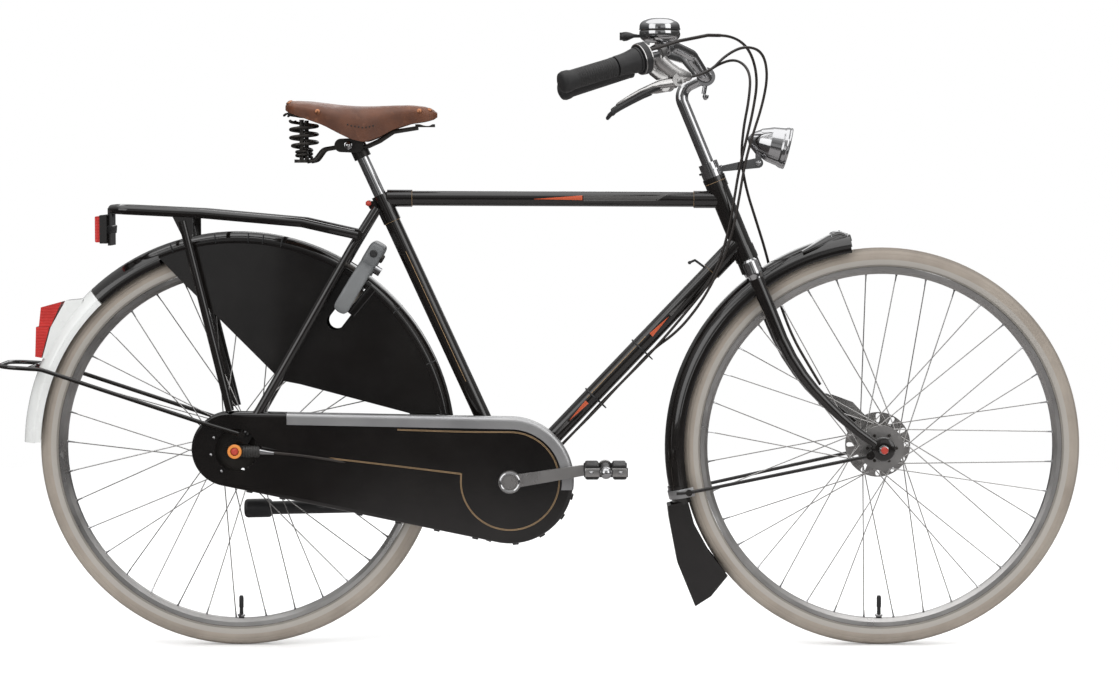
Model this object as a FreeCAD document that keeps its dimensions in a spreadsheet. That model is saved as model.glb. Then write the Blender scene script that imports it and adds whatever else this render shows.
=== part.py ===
import FreeCAD, Part
import Sketcher
import math
import os

from FreeCAD import Placement, Rotation, Vector

# Dutch city bike. +X is forward, +Y the rider's left, +Z up, and the tyres stand on Z = 0.
# All sizes are in millimetres.
doc = FreeCAD.newDocument("CityBike")

# Driving dimensions
DIMENSIONS = (
    ("wheel_radius", 356),
    ("tyre_width", 40),
    ("tyre_base_radius", 322),
    ("rim_inner_radius", 309),
    ("rim_width", 28),
    ("spoke_radius", 1),
    ("rear_axle_x", -537.3),
    ("front_axle_x", 606.7),
    ("axle_radius", 5),
    ("running_gap", 0.05),
    ("crank_centre_x", -54),
    ("crank_centre_z", 301),
    ("crank_shell_radius", 20),
    ("crank_shell_width", 68),
    ("seat_tube_top_x", -285.5),
    ("seat_tube_top_z", 805.5),
    ("seat_tube_radius", 14.3),
    ("seat_post_radius", 11),
    ("tube_wall", 1.5),
    ("lug_wall", 2),
    ("top_tube_radius", 13.5),
    ("top_tube_rear_z", 799.8),
    ("top_tube_front_z", 797.3),
    ("down_tube_radius", 15.5),
    ("down_tube_low_x", -52),
    ("down_tube_low_z", 296),
    ("down_tube_high_x", 321.2),
    ("down_tube_high_z", 687.4),
    ("steering_top_x", 310.7),
    ("steering_top_z", 828.7),
    ("steering_slope", 0.415),
    ("head_tube_radius", 18.5),
    ("head_bore_radius", 15.5),
    ("head_tube_length", 141),
    ("steerer_radius", 12.7),
    ("stay_radius", 8),
    ("dropout_face_y", 56),
    ("dropout_thickness", 5),
    ("fork_face_y", 50),
    ("mudguard_outer_radius", 385),
    ("mudguard_section_radius", 31.6),
    ("mudguard_wall", 1.5),
    ("mudguard_edge_radius", 362),
    ("chainline_y", -44),
    ("chainring_teeth", 38),
    ("sprocket_teeth", 19),
    ("chain_pitch", 12.7),
    ("case_front_radius", 112),
    ("case_rear_radius", 66),
    ("case_rear_x", -551),
    ("case_rear_z", 357),
    ("case_outer_y", -66),
    ("case_inner_y", -31.5),
    ("case_wall", 1.5),
    ("crank_length", 170),
    ("crank_angle", 9),
    ("crank_face_y", 70),
    ("crank_arm_thickness", 12),
    ("pedal_length", 88),
    ("bar_radius", 11.1),
    ("grip_radius", 17),
    ("cable_radius", 2.5),
    ("bell_radius", 32),
    ("headlamp_radius", 37),
    ("rack_tube_radius", 8),
    ("rack_half_width", 60),
    ("leg_tube_radius", 7.5),
    ("loop_rod_radius", 3.75),
    ("lock_ring_radius", 61.5),
    ("lock_inner_radius", 53),
    ("lock_outer_radius", 70),
    ("lock_half_thickness", 14),
    ("shackle_radius", 4.5),
    ("saddle_leather", 5),
    ("spring_wire_radius", 2.75),
    ("spring_tight_radius", 9),
    ("spring_tight_pitch", 6.2),
    ("spring_tight_turns", 2),
    ("spring_coil_radius", 19.5),
    ("spring_pitch", 14.4),
    ("spring_turns", 3.5),
    ("stand_leg_radius", 12),
    ("stand_length", 322),
)

sheet = doc.addObject("Spreadsheet::Sheet", "Sizes")
for row, (alias, value) in enumerate(DIMENSIONS, 1):
    sheet.set("A%d" % row, alias)
    sheet.set("B%d" % row, str(value))
    sheet.setAlias("B%d" % row, alias)
doc.recompute()

parts = {}


def size(alias):
    """A driving dimension, read from the sheet."""
    return float(getattr(sheet, alias))


def keep(label, thing):
    """Name a finished sub-part. Its label is its file's name."""
    thing.Label = label
    parts[label] = thing
    return thing


def feature(label, shape):
    """A sub-part whose shape has no sketch or primitive of its own."""
    thing = doc.addObject("Part::Feature", label)
    thing.Shape = shape
    return keep(label, thing)


def primitive(kind, name, dimensions, placement=Placement()):
    """A primitive solid whose sizes are expressions of the sheet."""
    thing = doc.addObject("Part::" + kind, name)
    for key, formula in dimensions.items():
        thing.setExpression(key, formula)
    thing.Placement = placement
    return thing


def cut(name, base, tool):
    thing = doc.addObject("Part::Cut", name)
    thing.Base = base
    thing.Tool = tool
    return thing


def fuse(name, *things):
    thing = doc.addObject("Part::MultiFuse", name)
    thing.Shapes = list(things)
    return thing


def facing(direction):
    """The turn that points a solid's own +Z along a direction."""
    return Rotation(Vector(0, 0, 1), direction)


def origin_plane(body, role):
    for plane in body.Origin.OriginFeatures:
        if plane.Role == role:
            return plane
    return None


def outline_sketch(body, name, corners):
    """A closed outline of straight sides on the body's XY plane.

    Each corner is a pair of expressions of the sheet.
    """
    sketch = body.newObject("Sketcher::SketchObject", name)
    sketch.AttachmentSupport = [(origin_plane(body, "XY_Plane"), "")]
    sketch.MapMode = "FlatFace"
    count = len(corners)
    first_guess = []
    for k in range(count):
        angle = 2 * math.pi * k / count
        first_guess.append(Vector(10 * math.cos(angle), 10 * math.sin(angle), 0))
    for k in range(count):
        sketch.addGeometry(Part.LineSegment(first_guess[k], first_guess[(k + 1) % count]), False)
    for k in range(count):
        sketch.addConstraint(Sketcher.Constraint("Coincident", k, 2, (k + 1) % count, 1))
    for k, (across, along) in enumerate(corners):
        x = sketch.addConstraint(Sketcher.Constraint("DistanceX", k, 1, first_guess[k].x))
        sketch.setExpression("Constraints[%d]" % x, across)
        y = sketch.addConstraint(Sketcher.Constraint("DistanceY", k, 1, first_guess[k].y))
        sketch.setExpression("Constraints[%d]" % y, along)
    return sketch


def turned(name, corners, at, along):
    """A lathe-turned body. Corners are (radius, distance along the axis)."""
    body = doc.addObject("PartDesign::Body", name)
    sketch = outline_sketch(body, name + "_outline", corners)
    turn = body.newObject("PartDesign::Revolution", name + "_turn")
    turn.Profile = sketch
    turn.ReferenceAxis = (sketch, ["V_Axis"])
    turn.Angle = 360
    body.Placement = Placement(at, Rotation(Vector(0, 1, 0), along))
    return body


def rod(start, end, radius):
    """A plain round rod between two points."""
    return Part.makeCylinder(radius, (end - start).Length, start, end - start)


def route(points, bend=None):
    """Straight runs joined by tangent arcs, and the tightest arc's radius."""
    edges = []
    start = points[0]
    radii = []
    for k in range(1, len(points) - 1):
        back = (points[k - 1] - points[k])
        ahead = (points[k + 1] - points[k])
        half_turn = (math.pi - back.getAngle(ahead)) / 2
        shorter = min(back.Length, ahead.Length)
        setback = 0.45 * shorter
        if bend:
            setback = min(setback, bend * math.tan(half_turn))
        radii.append(setback / math.tan(half_turn))
        into = points[k] + back.normalize() * setback
        out = points[k] + ahead.normalize() * setback
        bisector = (back + ahead).normalize()
        reach = radii[-1] / math.cos(half_turn) - radii[-1]
        middle = points[k] + bisector * reach
        edges.append(Part.LineSegment(start, into).toShape())
        edges.append(Part.Arc(into, middle, out).toShape())
        start = out
    edges.append(Part.LineSegment(start, points[-1]).toShape())
    return Part.Wire(edges), min(radii) if radii else 0


def pipe(points, radius, bend=None, bore=0):
    """A round bar or tube along a route."""
    path, tightest = route(points, bend)
    heading = points[1] - points[0]
    ring = Part.Wire([Part.Circle(points[0], heading, radius).toShape()])
    if bore:
        hole = Part.Wire([Part.Circle(points[0], heading, bore).toShape()])
        section = Part.Face([ring, hole])
    else:
        section = Part.Face(ring)
    return path.makePipe(section)


def hull_of_circles(low, low_radius, high, high_radius):
    """The outline of two circles and their outer tangents, in the XZ plane."""
    low = Vector(low.x, 0, low.z)
    high = Vector(high.x, 0, high.z)
    centre_line = high - low
    angle = math.atan2(centre_line.z, centre_line.x)
    lean = math.acos((low_radius - high_radius) / centre_line.Length)
    corners = []
    for centre, radius in ((low, low_radius), (high, high_radius)):
        for side in (1, -1):
            at = angle + side * lean
            corners.append(centre + Vector(math.cos(at), 0, math.sin(at)) * radius)
    back = Vector(math.cos(angle), 0, math.sin(angle))
    edges = [
        Part.LineSegment(corners[0], corners[2]).toShape(),
        Part.Arc(corners[2], high + back * high_radius, corners[3]).toShape(),
        Part.LineSegment(corners[3], corners[1]).toShape(),
        Part.Arc(corners[1], low - back * low_radius, corners[0]).toShape(),
    ]
    return Part.Wire(edges)


def slab(wire, from_y, to_y):
    """An outline in the XZ plane thickened between two Y planes."""
    face = Part.Face(wire) if isinstance(wire, Part.Wire) else wire
    face.translate(Vector(0, from_y, 0))
    return face.extrude(Vector(0, to_y - from_y, 0))


def polygon(corners):
    """A closed outline in the XZ plane from (x, z) pairs."""
    points = [Vector(x, 0, z) for x, z in corners]
    return Part.makePolygon(points + points[:1])


def mirrored(shape):
    """The same shape on the other side of the bike."""
    return shape.mirror(Vector(0, 0, 0), Vector(0, 1, 0))


def pair(shape):
    return Part.makeCompound([shape, mirrored(shape)])


def both(point):
    """A point and its mirror image on the other side."""
    return point, Vector(point.x, -point.y, point.z)


# Reference points
ACROSS = Vector(0, 1, 0)
rear_axle = Vector(size("rear_axle_x"), 0, size("wheel_radius"))
front_axle = Vector(size("front_axle_x"), 0, size("wheel_radius"))
crank_centre = Vector(size("crank_centre_x"), 0, size("crank_centre_z"))
seat_tube_top = Vector(size("seat_tube_top_x"), 0, size("seat_tube_top_z"))
seat_up = (seat_tube_top - crank_centre).normalize()
steering_top = Vector(size("steering_top_x"), 0, size("steering_top_z"))
steering_up = Vector(-size("steering_slope"), 0, 1).normalize()


def below(distance, side=0, ahead=0):
    """A point on the steering axis, a distance below the head tube's top."""
    forward = Vector(steering_up.z, 0, -steering_up.x)
    return steering_top - steering_up * distance + ACROSS * side + forward * ahead


def about(axle, radius, angle, side=0):
    """A point at a radius and an angle above forward, about an axle."""
    turn = math.radians(angle)
    return axle + Vector(radius * math.cos(turn), side, radius * math.sin(turn))


# Wheels
def wheel(end, axle, flange_radius, barrel_radius, right_flange, left_flange, spoke_phase):
    """Tyre, rim, hub and crossed spokes of one wheel, about its axle."""
    across = Placement(axle, facing(ACROSS))
    ring = primitive(
        "Torus",
        end + "_tyre_ring",
        {
            "Radius1": "Sizes.wheel_radius - Sizes.tyre_width / 2",
            "Radius2": "Sizes.tyre_width / 2",
        },
        across,
    )
    core = primitive(
        "Cylinder",
        end + "_tyre_core",
        {"Radius": "Sizes.tyre_base_radius", "Height": "2 * Sizes.tyre_width"},
        Placement(axle - ACROSS * size("tyre_width"), facing(ACROSS)),
    )
    keep(end + "_tyre", cut(end + "_tyre", ring, core))

    rim = turned(
        end + "_rim",
        (
            ("Sizes.tyre_base_radius", "-Sizes.rim_width / 2"),
            ("Sizes.tyre_base_radius", "2 - Sizes.rim_width / 2"),
            ("Sizes.rim_inner_radius + 7", "3 - Sizes.rim_width / 2"),
            ("Sizes.rim_inner_radius + 4", "-Sizes.rim_width / 4"),
            ("Sizes.rim_inner_radius + 4", "Sizes.rim_width / 4"),
            ("Sizes.rim_inner_radius + 7", "Sizes.rim_width / 2 - 3"),
            ("Sizes.tyre_base_radius", "Sizes.rim_width / 2 - 2"),
            ("Sizes.tyre_base_radius", "Sizes.rim_width / 2"),
            ("Sizes.rim_inner_radius + 6", "Sizes.rim_width / 2 - 1"),
            ("Sizes.rim_inner_radius", "Sizes.rim_width / 4"),
            ("Sizes.rim_inner_radius", "-Sizes.rim_width / 4"),
            ("Sizes.rim_inner_radius + 6", "1 - Sizes.rim_width / 2"),
        ),
        axle,
        ACROSS,
    )
    keep(end + "_rim", rim)

    flange = 3.5
    bore = "Sizes.axle_radius + Sizes.running_gap"
    hub = turned(
        end + "_hub",
        (
            (bore, "%g" % (right_flange - flange)),
            ("%g" % (barrel_radius / 2), "%g" % (right_flange - flange)),
            ("%g" % (barrel_radius / 2), "%g" % right_flange),
            ("%g" % flange_radius, "%g" % right_flange),
            ("%g" % flange_radius, "%g" % (right_flange + flange)),
            ("%g" % barrel_radius, "%g" % (right_flange + flange)),
            ("%g" % barrel_radius, "%g" % (left_flange - flange)),
            ("%g" % flange_radius, "%g" % (left_flange - flange)),
            ("%g" % flange_radius, "%g" % left_flange),
            (bore, "%g" % left_flange),
        ),
        axle,
        ACROSS,
    )
    keep(end + "_hub", hub)
    doc.recompute()

    # Thirty-six spokes cross three others, and stop at the hub's flanges and the rim's bed
    spokes = []
    for side, flange_y in ((0, right_flange + flange / 2), (1, left_flange - flange / 2)):
        for k in range(18):
            at_hub = math.radians(20 * k + 10 * side + spoke_phase)
            sweep = 60 if k % 2 == 0 else -60
            at_rim = at_hub + math.radians(sweep)
            hub_end = axle + Vector(
                (flange_radius - 3) * math.cos(at_hub), flange_y, (flange_radius - 3) * math.sin(at_hub)
            )
            reach = size("rim_inner_radius") + 2
            rim_side = 2.0 if side else -2.0
            rim_end = axle + Vector(reach * math.cos(at_rim), rim_side, reach * math.sin(at_rim))
            spokes.append(rod(hub_end, rim_end, size("spoke_radius")))
    carriers = hub.Shape.fuse(rim.Shape)
    trimmed = []
    for spoke in spokes:
        pieces = spoke.cut(carriers).Solids
        trimmed.append(max(pieces, key=lambda piece: piece.Volume))
    feature(end + "_spokes", Part.makeCompound(trimmed))


wheel("front", front_axle, 40, 34, -29, 29, 5)
wheel("rear", rear_axle, 36, 28, -30, 27, 8.3)

# Frame tubes, lugged at the head and the seat
rear_mitre = primitive(
    "Cylinder",
    "seat_tube_core",
    {"Radius": "Sizes.seat_tube_radius", "Height": "800"},
    Placement(crank_centre, facing(seat_up)),
)
head_mitre = primitive(
    "Cylinder",
    "head_tube_core",
    {"Radius": "Sizes.head_tube_radius", "Height": "Sizes.head_tube_length + 40"},
    Placement(below(size("head_tube_length") + 20), facing(steering_up)),
)


def frame_tube(label, radius, start, end, mitres):
    """A thin-walled tube between two points, mitred to the tubes it meets."""
    body = doc.addObject("PartDesign::Body", label + "_stock")
    sketch = body.newObject("Sketcher::SketchObject", label + "_section")
    sketch.AttachmentSupport = [(origin_plane(body, "XY_Plane"), "")]
    sketch.MapMode = "FlatFace"
    for index, formula in enumerate((radius, radius + " - Sizes.tube_wall")):
        sketch.addGeometry(Part.Circle(Vector(0, 0, 0), Vector(0, 0, 1), 10 - index), False)
        sketch.addConstraint(Sketcher.Constraint("Coincident", index, 3, -1, 1))
        k = sketch.addConstraint(Sketcher.Constraint("Radius", index, 10 - index))
        sketch.setExpression("Constraints[%d]" % k, formula)
    pad = body.newObject("PartDesign::Pad", label + "_pad")
    pad.Profile = sketch
    pad.Length = (end - start).Length
    body.Placement = Placement(start, facing(end - start))
    return keep(label, cut(label, body, fuse(label + "_mitres", *mitres)))


crank_mitre = primitive(
    "Cylinder",
    "crank_shell_core",
    {"Radius": "Sizes.crank_shell_radius", "Height": "Sizes.crank_shell_width"},
    Placement(crank_centre - ACROSS * (size("crank_shell_width") / 2), facing(ACROSS)),
)
top_tube_rear = Vector(-272.8, 0, size("top_tube_rear_z"))
top_tube_front = Vector(324.3, 0, size("top_tube_front_z"))
down_tube_low = Vector(size("down_tube_low_x"), 0, size("down_tube_low_z"))
down_tube_high = Vector(size("down_tube_high_x"), 0, size("down_tube_high_z"))
down_tube_along = (down_tube_high - down_tube_low).normalize()
down_tube_end = down_tube_high + down_tube_along * 49
frame_tube("top_tube", "Sizes.top_tube_radius", top_tube_rear, top_tube_front, (rear_mitre, head_mitre))
down_mitres = (crank_mitre, head_mitre, rear_mitre)
frame_tube("down_tube", "Sizes.down_tube_radius", down_tube_low, down_tube_end, down_mitres)
doc.recompute()

# Seat tube with its lug and clamp ears, and the crank shell that it stands on
top_tube_line = (top_tube_front - top_tube_rear).normalize()
lug = size("lug_wall")
seat_tube = rod(crank_centre, seat_tube_top, size("seat_tube_radius"))
seat_lug = rod(seat_tube_top - seat_up * 52, seat_tube_top, size("seat_tube_radius") + lug)
top_socket = rod(top_tube_rear, top_tube_rear + top_tube_line * 44, size("top_tube_radius") + lug)
top_stock = rod(top_tube_rear, top_tube_rear + top_tube_line * 60, size("top_tube_radius"))
core = rear_mitre.Shape
seat_back = Vector(-seat_up.z, 0, seat_up.x)
clamp_at = seat_tube_top - seat_up * 12 + seat_back * 19
clamp_ears = rod(clamp_at - ACROSS * 11, clamp_at + ACROSS * 11, 8)
crank_shell = crank_mitre.Shape
seat_frame = seat_tube.fuse([seat_lug, top_socket, clamp_ears, crank_shell])
post_bore = rod(
    crank_centre + seat_up * 60, seat_tube_top + seat_up * 5, size("seat_post_radius") + size("running_gap")
)
spindle_bore = rod(crank_centre - ACROSS * 60, crank_centre + ACROSS * 60, 13)
seat_frame = seat_frame.cut([post_bore, spindle_bore])
clamp_slot = Part.makeBox(40, 2, 34, Vector(-46, -1, -28))
clamp_slot.Placement = Placement(seat_tube_top, facing(seat_up)).multiply(clamp_slot.Placement)
clamp_hole = rod(clamp_at - ACROSS * 20, clamp_at + ACROSS * 20, 3)
seat_frame = seat_frame.cut([clamp_slot, clamp_hole, top_stock.cut(core)])
clamp_bolt = rod(clamp_at - ACROSS * 15, clamp_at + ACROSS * 15, 3)
clamp_bolt = clamp_bolt.fuse([
    rod(clamp_at - ACROSS * 17, clamp_at - ACROSS * 11, 5.5),
    rod(clamp_at + ACROSS * 11, clamp_at + ACROSS * 17, 5.5),
])
feature("seat_tube", Part.makeCompound([seat_frame, clamp_bolt]))

# Head tube with lug sockets round the top and down tubes, and pressed headset cups
head_length = size("head_tube_length")
head = rod(below(head_length - 2), below(-2), size("head_tube_radius"))
down_back = -down_tube_along
sockets = rod(top_tube_front, top_tube_front - top_tube_line * 52, size("top_tube_radius") + lug)
sockets = sockets.fuse(rod(down_tube_end, down_tube_end + down_back * 74, size("down_tube_radius") + lug))
stocks = rod(top_tube_front, top_tube_front - top_tube_line * 80, size("top_tube_radius"))
stocks = stocks.fuse(rod(down_tube_end, down_tube_end + down_back * 90, size("down_tube_radius")))
head_end_rings = rod(below(12), below(-2), size("head_tube_radius") + 1.5)
head_end_rings = head_end_rings.fuse(rod(below(head_length - 2), below(head_length - 16), 20))
upper_cup = rod(below(-2), below(-9), 20.5)
lower_cup = rod(below(head_length + 9), below(head_length - 2), 20.5)
head_solid = head.fuse([head_end_rings, upper_cup, lower_cup])
head_solid = head_solid.fuse(sockets).cut(stocks.cut(head_mitre.Shape))
head_bore = rod(below(head_length + 20), below(-20), size("head_bore_radius"))
head_solid = head_solid.cut(head_bore)
feature("head_tube", head_solid)

# Chain stays with forged dropouts, a bridge and the side stand's bracket
stay = size("stay_radius")
face_y = size("dropout_face_y")
plate_y = face_y + size("dropout_thickness")
stay_line = [
    Vector(-62, 26, 302),
    Vector(-131, 32.5, 309.5),
    Vector(-250, 41, 323),
    Vector(-430, 52, 344),
    Vector(-512, 57, 353),
]
chain_stay = pipe(stay_line, stay, 200)
dropout = slab(hull_of_circles(Vector(-512, 0, 353), 11, Vector(-545, 0, 357), 17), face_y, plate_y)
dropout = dropout.fuse(
    slab(hull_of_circles(Vector(-518, 0, 386), 11, Vector(-536, 0, 362), 14), face_y, plate_y)
)
axle_slot = slab(
    hull_of_circles(Vector(-570, 0, 359), 5.01, rear_axle, 5), face_y - 5, plate_y + 5
)
chain_stay = chain_stay.fuse(dropout).cut(axle_slot)
bridge_middle = Vector(-136, 0, 310)
bridge = rod(bridge_middle - ACROSS * 30, bridge_middle + ACROSS * 30, 6)
stays = chain_stay.fuse([mirrored(chain_stay), bridge])
stand_pivot = Vector(-214, 52, 245)
stand_axis = Vector(0, -0.845, -0.5348)
stand_bracket = slab(hull_of_circles(Vector(-192, 0, 308), 10, stand_pivot, 12), 28.5, 33.5)
pin_root = stand_pivot + stand_axis * 17
stand_bracket = stand_bracket.fuse([
    rod(pin_root, stand_pivot - stand_axis * 14, 5),
    rod(pin_root, stand_pivot + stand_axis * 12, 9),
])
guard_ring = size("mudguard_outer_radius") - size("mudguard_section_radius")
guard_section = size("mudguard_section_radius")
rear_guard_body = Part.makeTorus(guard_ring, guard_section, rear_axle, ACROSS)
low_guard_lug = rod(bridge_middle, about(rear_axle, guard_ring + guard_section, -2), 5)
stays = stays.fuse([stand_bracket, low_guard_lug.cut(rear_guard_body)])
stays = stays.cut([crank_mitre.Shape, rod(crank_centre, seat_tube_top, size("seat_tube_radius"))])
stays = max(stays.Solids, key=lambda piece: piece.Volume)
feature("chain_stays", stays)

# Seat stays
seat_stay_line = [
    Vector(-521, 57, 384),
    Vector(-470, 50, 473),
    Vector(-330, 39.5, 718),
    Vector(-291, 20, 781),
]
seat_stay = pipe(seat_stay_line, stay, 120)
seat_stay = seat_stay.cut([dropout, seat_frame, clamp_bolt])
seat_stay = max(seat_stay.Solids, key=lambda piece: piece.Volume)
bridge_y = 36
upper_bridge = rod(Vector(-342.6, -bridge_y, 696.5), Vector(-342.6, bridge_y, 696.5), 6)
upper_middle = Vector(-342.6, 0, 696.5)
high_guard_lug = rod(upper_middle, upper_middle + (rear_axle - upper_middle).normalize() * 12, 6)
feature("seat_stays", seat_stay.fuse([
    mirrored(seat_stay),
    upper_bridge,
    high_guard_lug.cut(rear_guard_body),
]))


# Mudguards
def mudguard(end, axle, from_angle, to_angle):
    """A half-round guard about an axle, between two angles above forward."""
    turn = Rotation(Vector(0, 1, 0), -from_angle).multiply(Rotation(Vector(1, 0, 0), 90))
    place = Placement(axle, turn)
    section = "Sizes.mudguard_outer_radius - Sizes.mudguard_section_radius"
    sweep = "%g" % (to_angle - from_angle)
    outside = primitive(
        "Torus",
        end + "_guard_outside",
        {"Radius1": section, "Radius2": "Sizes.mudguard_section_radius", "Angle3": sweep},
        place,
    )
    inside = primitive(
        "Torus",
        end + "_guard_inside",
        {
            "Radius1": section,
            "Radius2": "Sizes.mudguard_section_radius - Sizes.mudguard_wall",
            "Angle3": sweep,
        },
        place,
    )
    trim = primitive(
        "Cylinder",
        end + "_guard_trim",
        {"Radius": "Sizes.mudguard_edge_radius", "Height": "120"},
        Placement(axle - ACROSS * 60, facing(ACROSS)),
    )
    return cut(end + "_guard", outside, fuse(end + "_guard_core", inside, trim))


keep("rear_mudguard", mudguard("rear", rear_axle, -3, 133))
tail_band = mudguard("tail", rear_axle, 133.2, 178.6)
front_band = mudguard("front", front_axle, 98.7, 196)
doc.recompute()

# White tail of the rear mudguard, with the raised seat of the lamp
lamp_seat = slab(
    polygon(((-812, 621), (-844, 618), (-871, 570), (-886, 516), (-866, 510), (-848, 560), (-822, 596))),
    -20,
    20,
)
tail_hollow = Part.makeTorus(guard_ring, guard_section - size("mudguard_wall"), rear_axle, ACROSS)
tail = tail_band.Shape.fuse(lamp_seat.cut(tail_hollow))
feature("mudguard_tail", tail)
lamp_lens = slab(polygon(((-888, 606), (-851, 616), (-871, 571.5), (-892, 571.5))), -19, 19)
lower_lens = slab(polygon(((-897, 571), (-873, 571), (-888, 516), (-899, 518))), -19, 19)
tail_lenses = lamp_lens.fuse(lower_lens).cut(tail)

# Front mudguard with its nose, and the lug that bolts it under the fork crown
nose = slab(
    polygon(((552, 715), (531.4, 742.4), (510.4, 728.8), (465, 705.6), (470, 700), (551.4, 706))), -5, 5
)
nose = nose.cut(Part.makeTorus(guard_ring, guard_section, front_axle, ACROSS))
nose = max(nose.Solids, key=lambda piece: piece.Volume)
front_guard = front_band.Shape.fuse(nose)
guard_lug = rod(below(171), below(180), 6)
front_hollow = Part.makeTorus(guard_ring, guard_section - size("mudguard_wall"), front_axle, ACROSS)
front_guard = front_guard.fuse(guard_lug.cut(front_hollow))

flap_outline = polygon((
    (226, 252), (229, 228), (244, 150), (276, 72), (304, 90), (334, 127), (300, 170), (275, 215), (262, 262),
))
flap_hollow = polygon(((231, 270), (234, 228), (249, 151), (280, 78), (310, 80), (345, 130), (330, 300)))
flap = slab(flap_outline, -28, 28).cut(slab(flap_hollow, -25, 25))
feature("mud_flap", max(flap.cut(front_guard).Solids, key=lambda piece: piece.Volume))

# Fork: steerer, crown, curved blades and dropouts
steerer = rod(below(166), below(-36), size("steerer_radius"))
crown = rod(below(164, -44), below(164, 44), 12)
crown = crown.fuse(rod(below(172), below(head_length + 9.3), 19))
blade_line = (
    (below(161, 42.5), 13),
    (below(230, 44), 12.6),
    (below(300, 46), 11.6),
    (Vector(443, 47.5, 518), 11.1),
    (Vector(463.2, 49, 487), 10.5),
    (Vector(484, 50, 461), 10),
    (Vector(507, 51, 437), 9.4),
    (Vector(532, 52, 413), 8.8),
    (Vector(562, 52.5, 387), 8.2),
    (Vector(598, 52.5, 361), 7.6),
)
rings = []
for k, (at, radius) in enumerate(blade_line):
    before = blade_line[max(k - 1, 0)][0]
    after = blade_line[min(k + 1, len(blade_line) - 1)][0]
    rings.append(Part.Wire([Part.Circle(at, after - before, radius).toShape()]))
blade = Part.makeLoft(rings, True, True)
fork_y = size("fork_face_y")
fork_eye = rod(front_axle + ACROSS * fork_y, front_axle + ACROSS * (fork_y + 5), 13)
blade = blade.fuse(fork_eye)
hub_room = rod(front_axle - ACROSS * fork_y, front_axle + ACROSS * fork_y, 30)
axle_hole = rod(front_axle - ACROSS * 70, front_axle + ACROSS * 70, size("axle_radius"))
quill_bore = rod(below(70), below(-40), size("bar_radius") + size("running_gap"))
fork = steerer.fuse([crown, blade, mirrored(blade)]).cut([quill_bore, axle_hole, hub_room])
feature("fork", fork)
feature("front_mudguard", front_guard.cut(fork))

# Headset nuts and the headlamp's bracket
nuts = rod(below(-9.3), below(-20), 19)
nuts = nuts.fuse([rod(below(-20), below(-24), 16), rod(below(-28), below(-36), 17.5)])
nuts = nuts.fuse(rod(below(-24), below(-28), 17.5))
bracket_ring = rod(below(-20), below(-23.5), 22)
lamp_pivot = Vector(386, 0, 862)
lamp_arm = slab(hull_of_circles(below(-21.75), 4, lamp_pivot, 9), -9, 9)
lamp_arm = lamp_arm.cut(rod(lamp_pivot - ACROSS * 6.3, lamp_pivot + ACROSS * 6.3, 14))
lamp_pin = rod(lamp_pivot - ACROSS * 12, lamp_pivot + ACROSS * 12, 3)
nut_bore = rod(below(0), below(-60), size("steerer_radius"))
headset = nuts.fuse([bracket_ring, lamp_arm]).cut(nut_bore).fuse(lamp_pin)
feature("headset_nuts", headset)

# Headlamp: a bullet shell and its lens, tilting on the bracket
lamp_forward = Vector(0.9717, 0, -0.2345)
lamp_rim = Vector(438, 0, 889)
lamp_shell = turned(
    "headlamp_bullet",
    (
        ("Sizes.headlamp_radius - 3", "0"),
        ("Sizes.headlamp_radius", "0"),
        ("Sizes.headlamp_radius + 1.5", "-4"),
        ("Sizes.headlamp_radius", "-9"),
        ("Sizes.headlamp_radius - 1.5", "-12"),
        ("Sizes.headlamp_radius - 5", "-32"),
        ("Sizes.headlamp_radius - 13", "-52"),
        ("Sizes.headlamp_radius - 24", "-66"),
        ("0", "-73"),
        ("0", "-71"),
        ("Sizes.headlamp_radius - 25", "-64"),
        ("Sizes.headlamp_radius - 14.5", "-51"),
        ("Sizes.headlamp_radius - 7", "-31"),
        ("Sizes.headlamp_radius - 3", "-12"),
    ),
    lamp_rim,
    lamp_forward,
)
doc.recompute()
lamp_lug = rod(lamp_pivot - ACROSS * 6, lamp_pivot + ACROSS * 6, 7)
lamp_lug = lamp_lug.fuse(Part.makeBox(10, 12, 16, Vector(lamp_pivot.x - 4, -6, lamp_pivot.z)))
lamp_cavity = rod(lamp_rim, lamp_rim - lamp_forward * 50, size("headlamp_radius") - 15)
lamp_lug = lamp_lug.cut([
    lamp_cavity,
    rod(lamp_pivot - ACROSS * 9, lamp_pivot + ACROSS * 9, 3 + size("running_gap")),
])
feature("headlamp_shell", lamp_shell.Shape.fuse(lamp_lug))
lens = turned(
    "headlamp_lens",
    (
        ("0", "-4"),
        ("Sizes.headlamp_radius - 3", "-4"),
        ("Sizes.headlamp_radius - 3", "-1"),
        ("Sizes.headlamp_radius - 17", "2"),
        ("0", "3.5"),
    ),
    lamp_rim,
    lamp_forward,
)
keep("headlamp_lens", lens)

# Stem and handlebar
bar_clamp = Vector(292.3, 0, 1014.3)
stem_bend = below(-176)
stem = pipe([below(66), stem_bend, bar_clamp], size("bar_radius"), 26)
stem = stem.fuse(rod(bar_clamp - ACROSS * 20, bar_clamp + ACROSS * 20, 16.5))
stem_bolt = rod(bar_clamp + Vector(-3, 0, -30), bar_clamp + Vector(0, 0, -13), 4)
bar_way_through = rod(bar_clamp - ACROSS * 40, bar_clamp + ACROSS * 40, size("bar_radius"))
feature("stem", stem.fuse(stem_bolt).cut(bar_way_through))

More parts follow.
